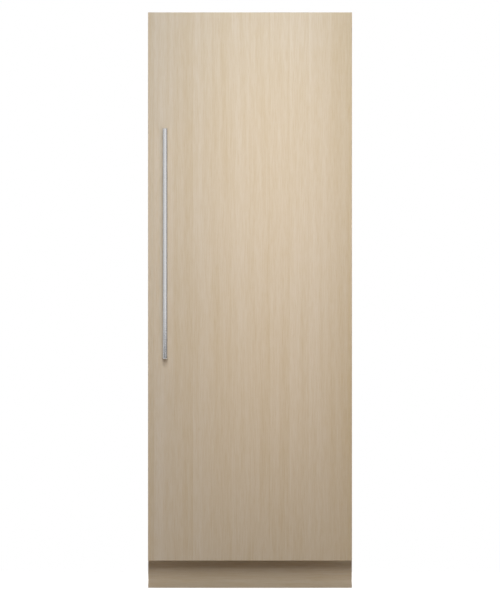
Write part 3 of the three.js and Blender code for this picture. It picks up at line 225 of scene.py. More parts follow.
# %% [markdown]
# A finish is a material with one Principled shader. Plain numbers go straight on its sockets. What varies
# over the surface comes from noise on Object coordinates, in metres, so that a grain keeps its real size on
# every piece. A small class adds nodes and joins them, for finishes, floor and world alike.
# %% Nodes
class Graph:
    """The nodes of a material or a world, added by kind and joined by name."""

    def __init__(self, owner):
        owner.use_nodes = True
        self.nodes = owner.node_tree.nodes
        self.links = owner.node_tree.links

    def add(self, kind, inputs=None, **settings):
        node = self.nodes.new(kind)
        for setting, value in settings.items():
            setattr(node, setting, value)
        self.fill(node, inputs or {})
        return node

    def fill(self, node, inputs):
        """Joins the sockets that are given and sets the others to the plain values."""
        for socket, value in inputs.items():
            if isinstance(value, bpy.types.NodeSocket):
                self.links.new(value, node.inputs[socket])
            else:
                node.inputs[socket].default_value = value

    def shade(self, inputs):
        self.fill(self.nodes["Principled BSDF"], inputs)

    def place(self):
        return self.add("ShaderNodeTexCoord").outputs["Object"]

    def math(self, operation, *values):
        return self.add("ShaderNodeMath", dict(enumerate(values)), operation=operation).outputs[0]

    def noise(self, place, detail, roughness=0.6):
        inputs = {"Vector": place, "Scale": 1.0, "Detail": detail, "Roughness": roughness}
        return self.add("ShaderNodeTexNoise", inputs).outputs["Fac"]

    def between(self, value, low, high, to_low=0.0, to_high=1.0):
        """A value moved from one range to another, smoothly, and kept inside it."""
        inputs = {"Value": value, "From Min": low, "From Max": high, "To Min": to_low, "To Max": to_high}
        return self.add("ShaderNodeMapRange", inputs, interpolation_type="SMOOTHSTEP").outputs[0]

    def mix(self, share, first, second):
        return self.add("ShaderNodeMix", {0: share, 6: first, 7: second}, data_type="RGBA").outputs[2]

    def bump(self, height, distance, strength=1.0):
        inputs = {"Height": height, "Distance": distance, "Strength": strength}
        return self.add("ShaderNodeBump", inputs).outputs[0]


# %% [markdown]
# The door panel and the toe kick wear rift-cut oak veneer: straight fine grain, laid as leaves that are cut
# one after the other from one log, so each leaf nearly repeats the one beside it and only the joints give
# them away. The pattern is worked out in metres: first which leaf a point is in and how far across it, then
# broad tone bands, narrow growth lines and short open pores, each one a noise that is stretched along the
# grain. All of them add to one share that goes from a pale, faintly pink tone to a yellower, darker one:
# the wood's colour runs along that one line. A leaf also darkens a little from one joint to the next. The
# same finish serves both pieces, with the grain upright on the door and level on the kick.
# %% Oak veneer
OAK_LIGHT, OAK_DARK = (226, 215, 200), (204, 182, 143)
LEAF_WIDTH = 71.7 * MM
FIRST_JOINT = 1.6 * MM
# Where the leaves' tones start in the noise, so that pale and dark leaves lie much as on the real door
LEAF_TONE_START = 4153
LEAF_TONE, LEAF_RAMP = 0.42, 0.08
BAND_SHARE, LINE_SHARE, PORE_SHARE = 0.2, 0.22, 0.22
SWAY = 9 * MM


def oak_veneer(name, across_axis, along_axis):
    """Veneer whose leaves are counted along one axis plus depth, with the grain along the other axis."""
    material = bpy.data.materials.new(name)
    graph = Graph(material)
    axes = graph.add("ShaderNodeSeparateXYZ", {0: graph.place()}).outputs
    across = graph.math("ADD", axes[across_axis], axes["Y"])
    along = axes[along_axis]
    waves = {0: graph.math("MULTIPLY", across, 9.0), 1: graph.math("MULTIPLY", along, 1.6)}
    sway = graph.noise(graph.add("ShaderNodeCombineXYZ", waves).outputs[0], 1.0, 0.5)
    leaves = graph.math("DIVIDE", graph.math("ADD", across, FIRST_JOINT), LEAF_WIDTH)
    leaf = graph.math("FLOOR", leaves)
    within = graph.math("MULTIPLY", graph.math("FRACT", leaves), LEAF_WIDTH)
    swayed = graph.math("ADD", within, graph.math("MULTIPLY", sway, SWAY))

    def stretched(waves_across, waves_along, leaf_step, start, detail):
        """Noise on the veneer's own axes; leaf_step says how far one leaf departs from the next."""
        place = graph.add("ShaderNodeCombineXYZ", {
            0: graph.math("MULTIPLY", swayed, waves_across),
            1: graph.math("MULTIPLY", along, waves_along),
            2: graph.math("ADD", graph.math("MULTIPLY", leaf, leaf_step), start)}).outputs[0]
        return graph.noise(place, detail, 0.55)

    bands = graph.between(stretched(42.0, 1.3, 0.22, 3.0, 3.0), 0.3, 0.7, 0.0, BAND_SHARE)
    lines = graph.between(stretched(330.0, 15.0, 0.9, 11.0, 3.0), 0.35, 0.68, 0.0, LINE_SHARE)
    pore_noise = stretched(1500.0, 40.0, 1.7, 23.0, 2.0)
    pores = graph.between(pore_noise, 0.56, 0.7, 0.0, PORE_SHARE)
    tone_place = {"W": graph.math("ADD", leaf, LEAF_TONE_START)}
    tone = graph.add("ShaderNodeTexWhiteNoise", tone_place, noise_dimensions="1D").outputs["Value"]
    leaf_share = graph.math("ADD", graph.math("MULTIPLY", tone, LEAF_TONE),
                            graph.math("MULTIPLY", within, LEAF_RAMP / LEAF_WIDTH))
    share = graph.math("ADD", graph.math("ADD", bands, lines), graph.math("ADD", pores, leaf_share))
    colour = graph.mix(graph.math("MINIMUM", share, 1.0), linear(*OAK_LIGHT), linear(*OAK_DARK))
    depth = graph.math("SUBTRACT", 0.0, graph.math("ADD", pores, graph.math("MULTIPLY", lines, 0.4)))
    graph.shade({"Base Color": colour, "Roughness": graph.between(pore_noise, 0.5, 0.75, 0.46, 0.62),
                 "Normal": graph.bump(depth, 0.12 * MM, 0.5), "Specular IOR Level": 0.35})
    return material


FINISH = {"oak_veneer": oak_veneer("oak_upright", "X", "Z"),
          "oak_veneer_kick": oak_veneer("oak_level", "Z", "X")}
print("veneers", list(FINISH))

# %% [markdown]
# The other finishes share one recipe: one noise moves both the colour and the roughness between two values,
# and lifts the surface a little. Steel is brushed, so its noise is stretched along the handle or across the
# shelves. Zinc-plated sheet has the soft cloud that plating leaves, and powder coat has a fine peel. The
# clear plastic and the glass are drawn as real walls with transmission, so light bends in their rims.
# %% Metals, paints, plastics, glass, rubber and foam
METAL = {"Metallic": 1.0}
RECIPES = {
    # slot: two colours, waves to the metre along x, y and z, roughness range, height in mm, other sockets
    "handle_steel": ((222, 222, 224), (209, 209, 209), (2600, 2600, 26), (0.15, 0.26), 0.01, METAL),
    "shelf_steel": ((205, 205, 206), (186, 186, 188), (18, 1600, 1600), (0.24, 0.4), 0.01, METAL),
    "zinc_steel": ((176, 179, 182), (168, 171, 175), (38, 38, 38), (0.37, 0.46), 0, {"Metallic": 0.85}),
    "case_paint": ((146, 149, 152), (139, 142, 145), (900, 900, 900), (0.42, 0.56), 0.02, {"Metallic": 0.15}),
    "black_paint": ((30, 31, 33), (40, 41, 43), (260, 260, 260), (0.32, 0.52), 0.03, {"Metallic": 0.1}),
    "fin_aluminium": ((206, 208, 210), (188, 190, 193), (300, 40, 300), (0.26, 0.42), 0, METAL),
    "copper": ((196, 128, 92), (158, 96, 68), (120, 120, 120), (0.22, 0.42), 0, METAL),
    "liner_plastic": ((238, 239, 239), (233, 234, 235), (420, 420, 420), (0.3, 0.4), 0.015,
                      {"Coat Weight": 0.15}),
    "grey_plastic": ((158, 161, 164), (148, 151, 154), (500, 500, 500), (0.44, 0.6), 0.03, {}),
    "dark_plastic": ((44, 46, 49), (52, 54, 57), (500, 500, 500), (0.4, 0.58), 0.03, {}),
    "clear_plastic": ((244, 249, 250), (238, 245, 247), (30, 30, 30), (0.04, 0.12), 0,
                      {"Transmission Weight": 0.94, "IOR": 1.45}),
    "shelf_glass": ((236, 248, 243), (232, 246, 240), (8, 8, 8), (0.01, 0.03), 0,
                    {"Transmission Weight": 1.0, "IOR": 1.5}),
    "light_lens": ((250, 249, 245), (246, 244, 239), (900, 900, 900), (0.3, 0.45), 0.05,
                   {"Emission Color": (1.0, 0.97, 0.92, 1.0), "Emission Strength": 0.45}),
    "gasket": ((205, 206, 205), (196, 197, 196), (300, 300, 300), (0.56, 0.7), 0.03, {}),
    "tyre_rubber": ((44, 44, 45), (56, 56, 57), (400, 400, 400), (0.68, 0.85), 0.08, {}),
    "foam": ((232, 218, 172), (214, 197, 146), (240, 240, 240), (0.88, 0.98), 0.6, {}),
}
DETAIL = {"zinc_steel": 3.0}


def textured(name, colour, second_colour, scale, roughness, height, sockets):
    """A finish from its recipe: noise varies it between two colours, two roughnesses and two heights."""
    material = bpy.data.materials.new(name)
    graph = Graph(material)
    place = graph.add("ShaderNodeMapping", {"Vector": graph.place(), "Scale": scale}).outputs[0]
    noise = graph.noise(place, DETAIL.get(name, 4.0))
    mixed = graph.mix(graph.between(noise, 0.3, 0.7), linear(*colour), linear(*second_colour))
    graph.shade({"Base Color": mixed, "Roughness": graph.between(noise, 0.3, 0.7, *roughness), **sockets})
    if height:
        graph.shade({"Normal": graph.bump(noise, height * MM)})
    return material


FINISH.update({slot: textured(slot, *recipe) for slot, recipe in RECIPES.items()})
print("finishes", len(FINISH))

# %% [markdown]
# The stage repeats the photograph's view: square on, from so far away that there is hardly any perspective,
# with the eye a little above the middle of the door. A long lens from far off does that. The lens follows
# from one measured fact: how much height the picture's long side covers in the plane of the door's face. A
# camera sees no further than its far limit, 100 m here, so it stands well within that.
# %% Camera
PICTURE_SPAN = 2.2236
EYE_HEIGHT = 1.068
CAMERA_DISTANCE = 60.0
SENSOR = 36.0

door_face = limits("wood_panel")[1][0]
camera = bpy.data.objects.new("camera", bpy.data.cameras.new("camera"))
bpy.context.scene.collection.objects.link(camera)
camera.data.sensor_width = SENSOR
camera.data.lens = SENSOR * CAMERA_DISTANCE / PICTURE_SPAN
camera.location = (0, door_face - CAMERA_DISTANCE, EYE_HEIGHT)
camera.rotation_euler = (math.pi / 2, 0, 0)
bpy.context.scene.camera = camera
bpy.context.scene.view_settings.view_transform = "Standard"
print("lens", round(camera.data.lens), "mm")

# %% [markdown]
# The photograph's main light is tall and narrow and stands in front, a little above the door: the bar throws
# no soft shadow to its sides, only a thin dark line, and a short one under its lower end. One tall strip does
# that. The door is lighter along its middle and towards its top, so three weak accents, which cast no shadow,
# stand closer: they follow that fall-off. No two accents stand in one plane, because rays that meet one lamp
# would miss the other. Lamps at the sides, behind and above can't touch the door's face and are there for
# the other views. Metal mirrors none of the lamps but the rear one.
# %% Lamps
STRIP_X, STRIP_HEIGHT, STRIP_AWAY = -0.18, 2.32, 3.5
ACCENT_X = 0.11
WHITE = (1.0, 1.0, 1.0)


def lamp(name, power, size, place, target, tint=WHITE, mirrored=False):
    """A rectangular area lamp that faces its target: it is tilted and turned by the line between the two."""
    light = bpy.data.lights.new(name, "AREA")
    light.shape = "RECTANGLE"
    light.size, light.size_y = size
    light.energy = power
    light.color = tint
    holder = bpy.data.objects.new(name, light)
    bpy.context.scene.collection.objects.link(holder)
    away = np.array(place, float) - np.array(target, float)
    holder.location = place
    turn = math.atan2(away[0], -away[1])
    tilt = math.atan2(math.hypot(away[0], away[1]), away[2])
    holder.rotation_euler = (tilt, 0, turn)
    holder.visible_glossy = mirrored
    print(name, power, "W")
    return light


lamp("key_strip", 75.0, (0.7, 2.4), (STRIP_X, door_face - STRIP_AWAY, STRIP_HEIGHT),
     (STRIP_X, door_face, STRIP_HEIGHT), (1.0, 1.0, 0.985))
lamp("left_box", 60.0, (1.6, 2.4), (-3.2, 0.9, 1.9), (0, 0.1, 1.0))
lamp("right_box", 60.0, (1.6, 2.4), (3.2, 0.9, 1.9), (0, 0.1, 1.0))
lamp("top_box", 32.0, (2.4, 1.4), (0, 0.7, 4.2), (0, 0.4, 0))
lamp("rear_box", 70.0, (2.0, 2.4), (0.4, 3.6, 2.2), (0, 0.1, 1.0), mirrored=True)
for name, power, away, height, tint in (("top_accent", 0.68, 1.22, 2.4, WHITE),
                                        ("middle_accent", 0.52, 1.2, 1.75, WHITE),
                                        ("low_accent", 0.66, 1.24, 1.12, (1.0, 0.82, 0.66))):
    accent = lamp(name, power, (0.5, 1.5), (ACCENT_X, door_face - away, height),
                  (ACCENT_X, door_face, height), tint)
    accent.spread = math.radians(60)
    accent.use_shadow = False

# %% [markdown]
# The white round the object is the world and the floor as the camera, mirrors and glass see them. For the
# rays that only light things the world is a weak warm fill, so the lamps shape the object. The kind of each
# ray tells the two apart, and a shader that mixes two others by it will serve the floor as well.
# %% World
FILL, FILL_TINT = 0.08, (1.0, 0.965, 0.92, 1)


def seen_rays(graph):
    """1 on rays from the camera, a mirror or through glass, and 0 on the rays that only light things."""
    path = graph.add("ShaderNodeLightPath").outputs
    first = graph.math("MAXIMUM", path["Is Camera Ray"], path["Is Glossy Ray"])
    return graph.math("MAXIMUM", first, path["Is Transmission Ray"])


def mixed_shader(graph, share, first, second, output):
    """Ends a graph in two shaders, the second one's share given."""
    both = graph.add("ShaderNodeMixShader", {0: share, 1: first.outputs[0], 2: second.outputs[0]})
    graph.fill(graph.nodes[output], {"Surface": both.outputs[0]})


world = bpy.data.worlds.new("studio")
bpy.context.scene.world = world
graph = Graph(world)
graph.fill(graph.nodes["Background"], {"Strength": FILL, "Color": FILL_TINT})
white = graph.add("ShaderNodeBackground", {"Color": (1, 1, 1, 1), "Strength": 1.0})
mixed_shader(graph, seen_rays(graph), graph.nodes["Background"], white, "World Output")
print("world fill", FILL)

# %% [markdown]
# The floor is one round sheet. It is darker to the rays that only light things, so it throws less light back
# up at the door. It glows white to the others and still takes the object's shadow. Under the case its glow
# is cut off, a painted shadow, and it fades into the world towards its rim.
# %% Floor
FLOOR_BOUNCE, FLOOR_SEEN = (0.42, 0.34, 0.27, 1), (0.8, 0.8, 0.8, 1)
FLOOR_RADIUS, FLOOR_SOLID, FLOOR_GLOW, FLOOR_POINTS = 3.6, 2.0, 0.72, 96
SHADE_WIDTH = 40 * MM
FLOOR_DROP = 0.5 * MM


def outside_painted_shadow(graph, place):
    """Painted shadow: 0 under the case, 1 beside it; |x| and |y| past its edges, the larger, as a soft step.
    """
    axes = graph.add("ShaderNodeSeparateXYZ", {0: place}).outputs
    past = []
    for axis, (low, high) in zip(axes, limits("base_frame")[:2]):
        away = graph.math("ABSOLUTE", graph.math("SUBTRACT", axis, (low + high) / 2))
        past.append(graph.math("SUBTRACT", away, (high - low) / 2))
    return graph.between(graph.math("MAXIMUM", *past), -SHADE_WIDTH, SHADE_WIDTH / 2)


def staged(name, points, faces):
    """A mesh of the stage, which isn't part of the object, and the graph of its own material."""
    mesh = bpy.data.meshes.new(name)
    mesh.from_pydata(points, [], faces)
    mesh.materials.append(bpy.data.materials.new(name))
    graph = Graph(mesh.materials[0])
    graph.nodes.remove(graph.nodes["Principled BSDF"])
    holder = bpy.data.objects.new(name, mesh)
    bpy.context.scene.collection.objects.link(holder)
    print("stage", name)
    return holder, graph


angle = np.linspace(0, 2 * math.pi, FLOOR_POINTS, endpoint=False)
circle = on_axis("z", FLOOR_RADIUS * np.cos(angle), FLOOR_RADIUS * np.sin(angle), -FLOOR_DROP)
_, graph = staged("floor", circle, [list(range(FLOOR_POINTS))])
place, seen = graph.place(), seen_rays(graph)
matt = graph.add("ShaderNodeBsdfDiffuse", {"Color": graph.mix(seen, FLOOR_BOUNCE, FLOOR_SEEN)})
# The glow is cut off under the case: a shadow painted into the floor.
glow_with_painted_shadow = graph.math("MULTIPLY", graph.math("MULTIPLY", seen, outside_painted_shadow(graph, place)), FLOOR_GLOW)
glow = graph.add("ShaderNodeEmission", {"Strength": glow_with_painted_shadow})
reach = graph.add("ShaderNodeVectorMath", {0: place}, operation="LENGTH").outputs["Value"]
mixed_shader(graph, graph.between(reach, FLOOR_SOLID, FLOOR_RADIUS),
             graph.add("ShaderNodeAddShader", {0: matt.outputs[0], 1: glow.outputs[0]}),
             graph.add("ShaderNodeBsdfTransparent"), "Material Output")

# %% [markdown]
# The bar handle is bright above and dims towards its lower end, and its two edges are darker than its middle:
# metal shows what stands round it, and a studio's floor and far walls are darker than its lamps. Grey cards
# before the object and at its two sides do the same. Only mirror rays can see them, so they change no light
# on the wood and show in no view. Each glows with its own even grey.
# %% Cards for the metal
CARD_TOP, CARD_HALF, CARD_DISTANCE = 0.9, 3.0, 1.3
CARD_GREY, SIDE_LOW_GREY, SIDE_HIGH_GREY = 0.2, 0.17, 0.36
SIDE_DISTANCE, SIDE_REACH, SIDE_GAP, SIDE_TOP = 2.0, 1.55, 0.02, 3.2


def card(name, start, end, bottom, top, grey):
    """An upright rectangle over the line from start to end, glowing with one grey for mirror rays alone."""
    corners = [(*start, bottom), (*end, bottom), (*end, top), (*start, top)]
    holder, graph = staged(name, corners, [(0, 1, 2, 3)])
    glow = graph.add("ShaderNodeEmission", {"Color": (grey, grey, grey, 1)})
    graph.fill(graph.nodes["Material Output"], {"Surface": glow.outputs[0]})
    holder.visible_camera = holder.visible_diffuse = False
    holder.visible_shadow = holder.visible_transmission = False


bar_middle = sum(limits("handle_bar")[0]) / 2
card_y = door_face - CARD_DISTANCE
card("low_card", (-CARD_HALF, card_y), (CARD_HALF, card_y), 0, CARD_TOP, CARD_GREY)
for side, name in ((-1, "left"), (1, "right")):
    x = bar_middle + side * SIDE_DISTANCE
    near, far = (x, door_face - SIDE_REACH), (x, door_face - SIDE_GAP)
    card(f"{name}_low_card", near, far, 0, CARD_TOP, SIDE_LOW_GREY)
    card(f"{name}_high_card", near, far, CARD_TOP, SIDE_TOP, SIDE_HIGH_GREY)

# %% [markdown]
# The wood panel is a board with its edges just eased, as a joiner leaves them, so a thin line of light runs
# along them. The kick is the same board lying lower and further back.
# %% Wood panel and toe kick
DOOR_ARRIS, KICK_ARRIS = mm(1.0, 0.4)
eased_slab("wood_panel", "y", DOOR_ARRIS, DOOR_ARRIS, "veneered", "door_panel_veneered")
eased_slab("toe_kick", "y", KICK_ARRIS, KICK_ARRIS, "veneered")

# %% [markdown]
# The handle is a solid round bar, so its profile is turned: a flat end, a rounded rim, the long straight
# side. Each post is turned too, with a collar where it meets the wood and a waist below the bar.
# %% Handle
END_ROUND, COLLAR_ROUND, COLLAR_DEPTH, COLLAR_EDGE, WAIST_SHARE = 2.5 * MM, 0.8 * MM, 3 * MM, 2 * MM, 0.82
CUP_PLAY = 0.2 * MM


def turned(profile, centre, axis="z", sides=64, ring=False):
    """A solid of revolution: each (radius, along) point goes once round the axis through the centre."""
    radius, along = np.asarray(profile, float).T[:, :, None]
    angle = np.linspace(0, 2 * math.pi, sides, endpoint=False)[None, :]
    points = on_axis(axis, radius * np.cos(angle), radius * np.sin(angle), along)
    return points + np.asarray(centre, float), grid_faces(*points.shape[:2], ring)


(bar_x0, bar_x1), (bar_y0, bar_y1), (bar_z0, bar_z1) = limits("handle_bar")
bar_radius, bar_y = (bar_x1 - bar_x0) / 2, (bar_y0 + bar_y1) / 2
bar_profile = rounded([(0, bar_z0), (bar_radius, bar_z0), (bar_radius, bar_z1), (0, bar_z1)], END_ROUND)
stand_in("handle_bar", "turned", turned(bar_profile, (bar_middle, bar_y, 0), "z", 72))

for post in ("handle_post_top", "handle_post_bottom"):
    (x0, x1), (y0, y1), (z0, z1) = limits(post)
    radius = (x1 - x0) / 2
    waist = radius * WAIST_SHARE
    # The post's bar end stays inside the bar's own outline, where the CAD post is hollowed for it
    neck = bar_y + bar_radius * math.cos(math.asin(waist / bar_radius)) + CUP_PLAY
    profile = rounded([(0, neck), (waist, neck), (waist, y1 - COLLAR_DEPTH), (radius, y1 - COLLAR_EDGE),
                       (radius, y1), (0, y1)], COLLAR_ROUND)
    stand_in(post, "turned", turned(profile, ((x0 + x1) / 2, 0, (z0 + z1) / 2), "y", 48))

# %% [markdown]
# Behind the wood is the door itself: a folded steel pan filled with foam and closed by a moulded sheet. The
# pan is one loft that runs up its outside, over the rim and down again inside.
# %% Door pan
SHEET, FOLD, FLANGE = mm(1, 2.2, 60)
x_span, (pan_y0, pan_y1), z_span = limits("door_pan")
pan_profile = rounded([(FLANGE, pan_y0), (0, pan_y0), (0, pan_y1), (SHEET, pan_y1), (SHEET, pan_y0 + SHEET),
                       (FLANGE, pan_y0 + SHEET)], FOLD)
stand_in("door_pan", "folded", moulded(x_span, z_span, FOLD, pan_profile))

# %% [markdown]
# The moulded sheet is a loft too: flat border, a raised ring with soft shoulders, flat middle. The foam that
# fills the ring follows it inside. Small lugs on the ring's inner walls carry the bins. Each is a loft of its
# own, and a helper counts their faces on from the sheet's, so that all of it is one piece.
# %% Door liner
LINER_SHEET, SHOULDER, RIDGE_CORNER = mm(1.5, 3.5, 34)
RIDGE_SIDE, RIDGE_LOW, RIDGE_HIGH, RIDGE_WIDTH, RIDGE_FOOT = mm(71, 505, 79, 32, 14)
LUG_FIRST, LUG_PITCH, LUG_COUNT, LUG_REACH = 750 * MM, 150 * MM, 9, 6 * MM
LUG_Y, LUG_DEPTH, LUG_HEIGHT, LUG_ROOT, LUG_EDGE = mm(13, 12, 16, 4, 3)
FOAM_FOOT, FOAM_SHOULDER, FOAM_DROP = mm(6, 8, 3)


def joined(*parts):
    """Several sets of points and faces as one, the faces counted on."""
    points, faces, start = [], [], 0
    for part_points, part_faces in parts:
        flat = np.asarray(part_points).reshape(-1, 3)
        points.append(flat)
        faces += [[corner + start for corner in face] for face in part_faces]
        start += len(flat)
    return np.vstack(points), faces


x_span, (_, ridge_y), z_span = limits("door_liner")
sheet_y, back_y = pan_y1, pan_y1 - LINER_SHEET
ridge_x = (x_span[0] + RIDGE_SIDE, x_span[1] - RIDGE_SIDE)
ridge_z = (z_span[0] + RIDGE_LOW, z_span[1] - RIDGE_HIGH)
border = inset_rows(x_span, z_span, 2 * MM, [(FLANGE, back_y), (0, back_y), (0, sheet_y)])
ridge_profile = rounded([(-RIDGE_FOOT, sheet_y), (0, sheet_y), (SHOULDER, ridge_y),
                         (RIDGE_WIDTH - SHOULDER, ridge_y), (RIDGE_WIDTH, sheet_y),
                         (RIDGE_WIDTH + RIDGE_FOOT, sheet_y)], 7 * MM, 7)
ridge_rows = inset_rows(ridge_x, ridge_z, RIDGE_CORNER, ridge_profile)
foam_top = ridge_y - FOAM_DROP
foam_line = [(FOAM_FOOT, back_y), (FOAM_FOOT, sheet_y), (FOAM_SHOULDER, foam_top),
             (RIDGE_WIDTH - FOAM_SHOULDER, foam_top), (RIDGE_WIDTH - FOAM_FOOT, sheet_y),
             (RIDGE_WIDTH - FOAM_FOOT, back_y)]
stand_in("door_foam_ridge", "filled",
         moulded(ridge_x, ridge_z, RIDGE_CORNER, rounded(foam_line, 5 * MM), ring=True))
parts = [loft(np.vstack([border, ridge_rows]), steps=9)]
lug_y = (sheet_y + LUG_Y, sheet_y + LUG_Y + LUG_DEPTH)
for side in (-1, 1):
    wall_x = side * (ridge_x[1] - RIDGE_WIDTH)
    lug_profile = rounded([(LUG_EDGE, wall_x - side * LUG_REACH), (0, wall_x - side * LUG_REACH),
                           (0, wall_x + side * LUG_ROOT)], 2 * MM)
    for z in LUG_FIRST + np.arange(LUG_COUNT) * LUG_PITCH:
        parts.append(moulded(lug_y, (z, z + LUG_HEIGHT), LUG_EDGE, lug_profile, "x", steps=4))
stand_in("door_liner", "moulded", joined(*parts))

# %% [markdown]
# The gasket is a soft vinyl tube with a magnet in its face. Its section is a small closed outline: a foot
# that sits in the door, a folded side that lets it stretch, and a flat face. Carried once round the door it
# closes on itself, so the loft is told that it is a ring.
# %% Gasket
GASKET_WIDTH = 26 * MM
GASKET_SECTION = [(0.5, 0), (1, 0), (1, 0.3), (0.9, 0.5), (1, 0.7), (1, 1), (0.03, 1), (0, 0.9), (0, 0.64),
                  (0.15, 0.52), (0, 0.38), (0, 0), (0.45, 0)]
x_span, (y0, y1), z_span = limits("door_gasket")
section = [(across * GASKET_WIDTH, y0 + up * (y1 - y0)) for across, up in GASKET_SECTION]
stand_in("door_gasket", "folded", moulded(x_span, z_span, 10 * MM, rounded(section, 1.4 * MM, 4), ring=True))

# %% [markdown]
# A bin is a moulded tray that leans out a little towards its rim. The tray is a loft along z: up the outside,
# over a thickened rim and down to the floor inside. The two hooks that hang it on the door's lugs are small
# arches, each an outline carried across the tray's side.
# %% Door bins
BIN_WALL, BIN_LEAN, BIN_RIM, BIN_CORNER, HOOK_REACH = mm(3, 4, 2, 16, 9.7)
LUG_PLAY, ROOF_PLAY, HOOK_WALL, HOOK_RISE, HOOK_BEVEL, TRAY_FLOOR = mm(0.4, 0.5, 5, 7.5, 3, 60)
HOOK_CROWN, HOOK_EDGE, HOOK_SUNK = mm(2, 0.3, 1.5)


def arch(outline, across):
    """A plate with the given outline in y and z, carried along x between two places."""
    y, z = np.asarray(outline, float).T
    points = on_axis("x", y[None], z[None], np.asarray(across, float)[:, None])
    return points, grid_faces(2, len(y)) + end_faces(2, len(y))


def tray(spans, corner, wall, lean, rim, steps=6):
    """An open tray as one loft: under the floor, up the leaning outside, round the rim, down inside."""
    x_span, y_span, (low, high) = spans
    profile = [(TRAY_FLOOR, low), (lean, low), (rim * 0.5, high - 4 * rim), (0, high - 3 * rim), (0, high),
               (wall + rim * 0.5, high), (wall + lean, low + wall), (TRAY_FLOOR + wall, low + wall)]
    return moulded(x_span, y_span, corner, rounded(profile, rim, 4), "z", steps=steps)


for number in (1, 2, 3):
    node = f"door_bin_{number}"
    (x0, x1), y_span, z_span = limits(node)
    tray_spans = ((x0 + HOOK_REACH, x1 - HOOK_REACH), y_span, z_span)
    parts = [tray(tray_spans, BIN_CORNER, BIN_WALL, BIN_LEAN, BIN_RIM, 8)]
    lug_z = LUG_FIRST + (number - 1) * 3 * LUG_PITCH
    slot_y0, slot_y1 = lug_y[0] - LUG_PLAY, lug_y[1] + LUG_PLAY
    foot, roof, top = lug_z + LUG_PLAY, lug_z + LUG_HEIGHT + ROOF_PLAY, lug_z + LUG_HEIGHT + HOOK_RISE
    hook = [(slot_y0, foot), (slot_y0, roof), (slot_y1, roof), (slot_y1, foot), (slot_y1 + HOOK_WALL, foot),
            (slot_y1 + HOOK_WALL, top - HOOK_BEVEL), (slot_y1 + HOOK_CROWN, top),
            (slot_y0 - HOOK_CROWN, top), (slot_y0 - HOOK_WALL, top - HOOK_BEVEL), (slot_y0 - HOOK_WALL, foot)]
    for edge, inward in ((x0, 1), (x1, -1)):
        parts.append(arch(hook, (edge + inward * HOOK_EDGE, edge + inward * (HOOK_REACH + HOOK_SUNK))))
    stand_in(node, "moulded", joined(*parts))

# %% [markdown]
# Hinges are stamped and turned steel, with the shapes that the model gives them already. They only need
# their sharp edges broken, which a bevel on a merged copy does. Other crisp mouldings and pressings will be
# treated in the same way.
# %% Hinges
BEVEL_FROM = math.radians(32)


def softened(node, width):
    """A merged copy of a CAD node whose sharp edges a bevel eases, which stands for the node."""
    source = frame["nodes"][node]
    mesh = bpy.data.meshes.new(node + "_eased")
    merge(source.data, mesh, outwards=False)
    piece = dress(node + "_eased", mesh, SLOTS[node], source["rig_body"], node)
    ease = piece.modifiers.new("eased_edges", "BEVEL")
    ease.width = width
    ease.segments = 2
    ease.limit_method = "ANGLE"
    ease.angle_limit = BEVEL_FROM
    ease.loop_slide = False
    piece.modifiers.move(1, 0)


for end in ("top", "bottom"):
    for plate in ("case_plate", "main_link", "guide_link", "door_plate"):
        softened(f"hinge_{end}_{plate}", 0.5 * MM)

# %% [markdown]
# Thin sheet drums, so shallow fields and beads are pressed into it. A pressed sheet is a height map: at each
# point of a grid the sheet stands back by the field's depth, times a soft step that rises from 0 to 1 just
# inside the field's border. A flat back closes the sheet round its edge.
# %% Pressed sheets
PRESS_DEPTH, PRESS_RAMP = mm(0.8, 6)


def soft_step(value, width):
    """0 below zero, 1 above width, and a smooth ramp between."""
    t = np.clip(value / width, 0, 1)
    return t * t * (3 - 2 * t)


def field(u, v, span_u, span_v):
    """How far a point lies inside a rectangle, as a soft step from 0 at its border to 1 within."""
    inside = np.minimum(np.minimum(u - span_u[0], span_u[1] - u), np.minimum(v - span_v[0], span_v[1] - v))
    return soft_step(inside, PRESS_RAMP)


def press_sheet(node, axis, fields, steps):
    """A node's sheet, its outer face pressed in over the fields, closed round its edge by its flat back."""
    spans = dict(zip("xyz", limits(node)))
    inner, outer = spans.pop(axis)
    u, v = (np.linspace(*span, count) for span, count in zip(spans.values(), steps))
    u, v = np.broadcast_arrays(u[:, None], v[None, :])
    press = np.max([field(u, v, *spans) for spans in fields], axis=0)
    front = on_axis(axis, u, v, outer + math.copysign(PRESS_DEPTH, inner - outer) * press)
    n, m = steps
    i, j = np.arange(n - 1)[:, None], np.arange(m - 1)[None, :]
    faces = np.stack([i * m + j, i * m + j + 1, (i + 1) * m + j + 1, (i + 1) * m + j], axis=-1).reshape(-1, 4)
    rim = np.concatenate([np.arange(m), np.arange(1, n) * m + m - 1, (n - 1) * m + np.arange(m - 2, -1, -1),
                          np.arange(n - 2, 0, -1) * m])
    flat = front.reshape(-1, 3)
    back = flat[rim].copy()
    back[:, "xyz".index(axis)] = inner
    count, around = len(flat), len(rim)
    k = np.arange(around)
    after = (k + 1) % around
    sides = np.stack([rim[k], rim[after], count + after, count + k], axis=1)
    faces = faces.tolist() + sides.tolist() + [list(range(count, count + around))]
    stand_in(node, "pressed", (np.vstack([flat, back]), faces))


# %% [markdown]
# The case is folded and welded sheet steel. Its sides are plain, its back has two columns of pressed fields,
# and its top has short beads.
# %% Case skins
FIELD_MARGIN, FIELD_GAP, FIELD_ROWS = 55 * MM, 40 * MM, 3
BEAD_LENGTH, BEAD_WIDTH, BEADS, BEAD_SPREAD, BEAD_BACK = 300 * MM, 16 * MM, 5, 0.72, 60 * MM
for side in ("left", "right"):
    eased_slab("side_panel_" + side, "x", 1.5 * MM, 0.35 * MM, "folded")

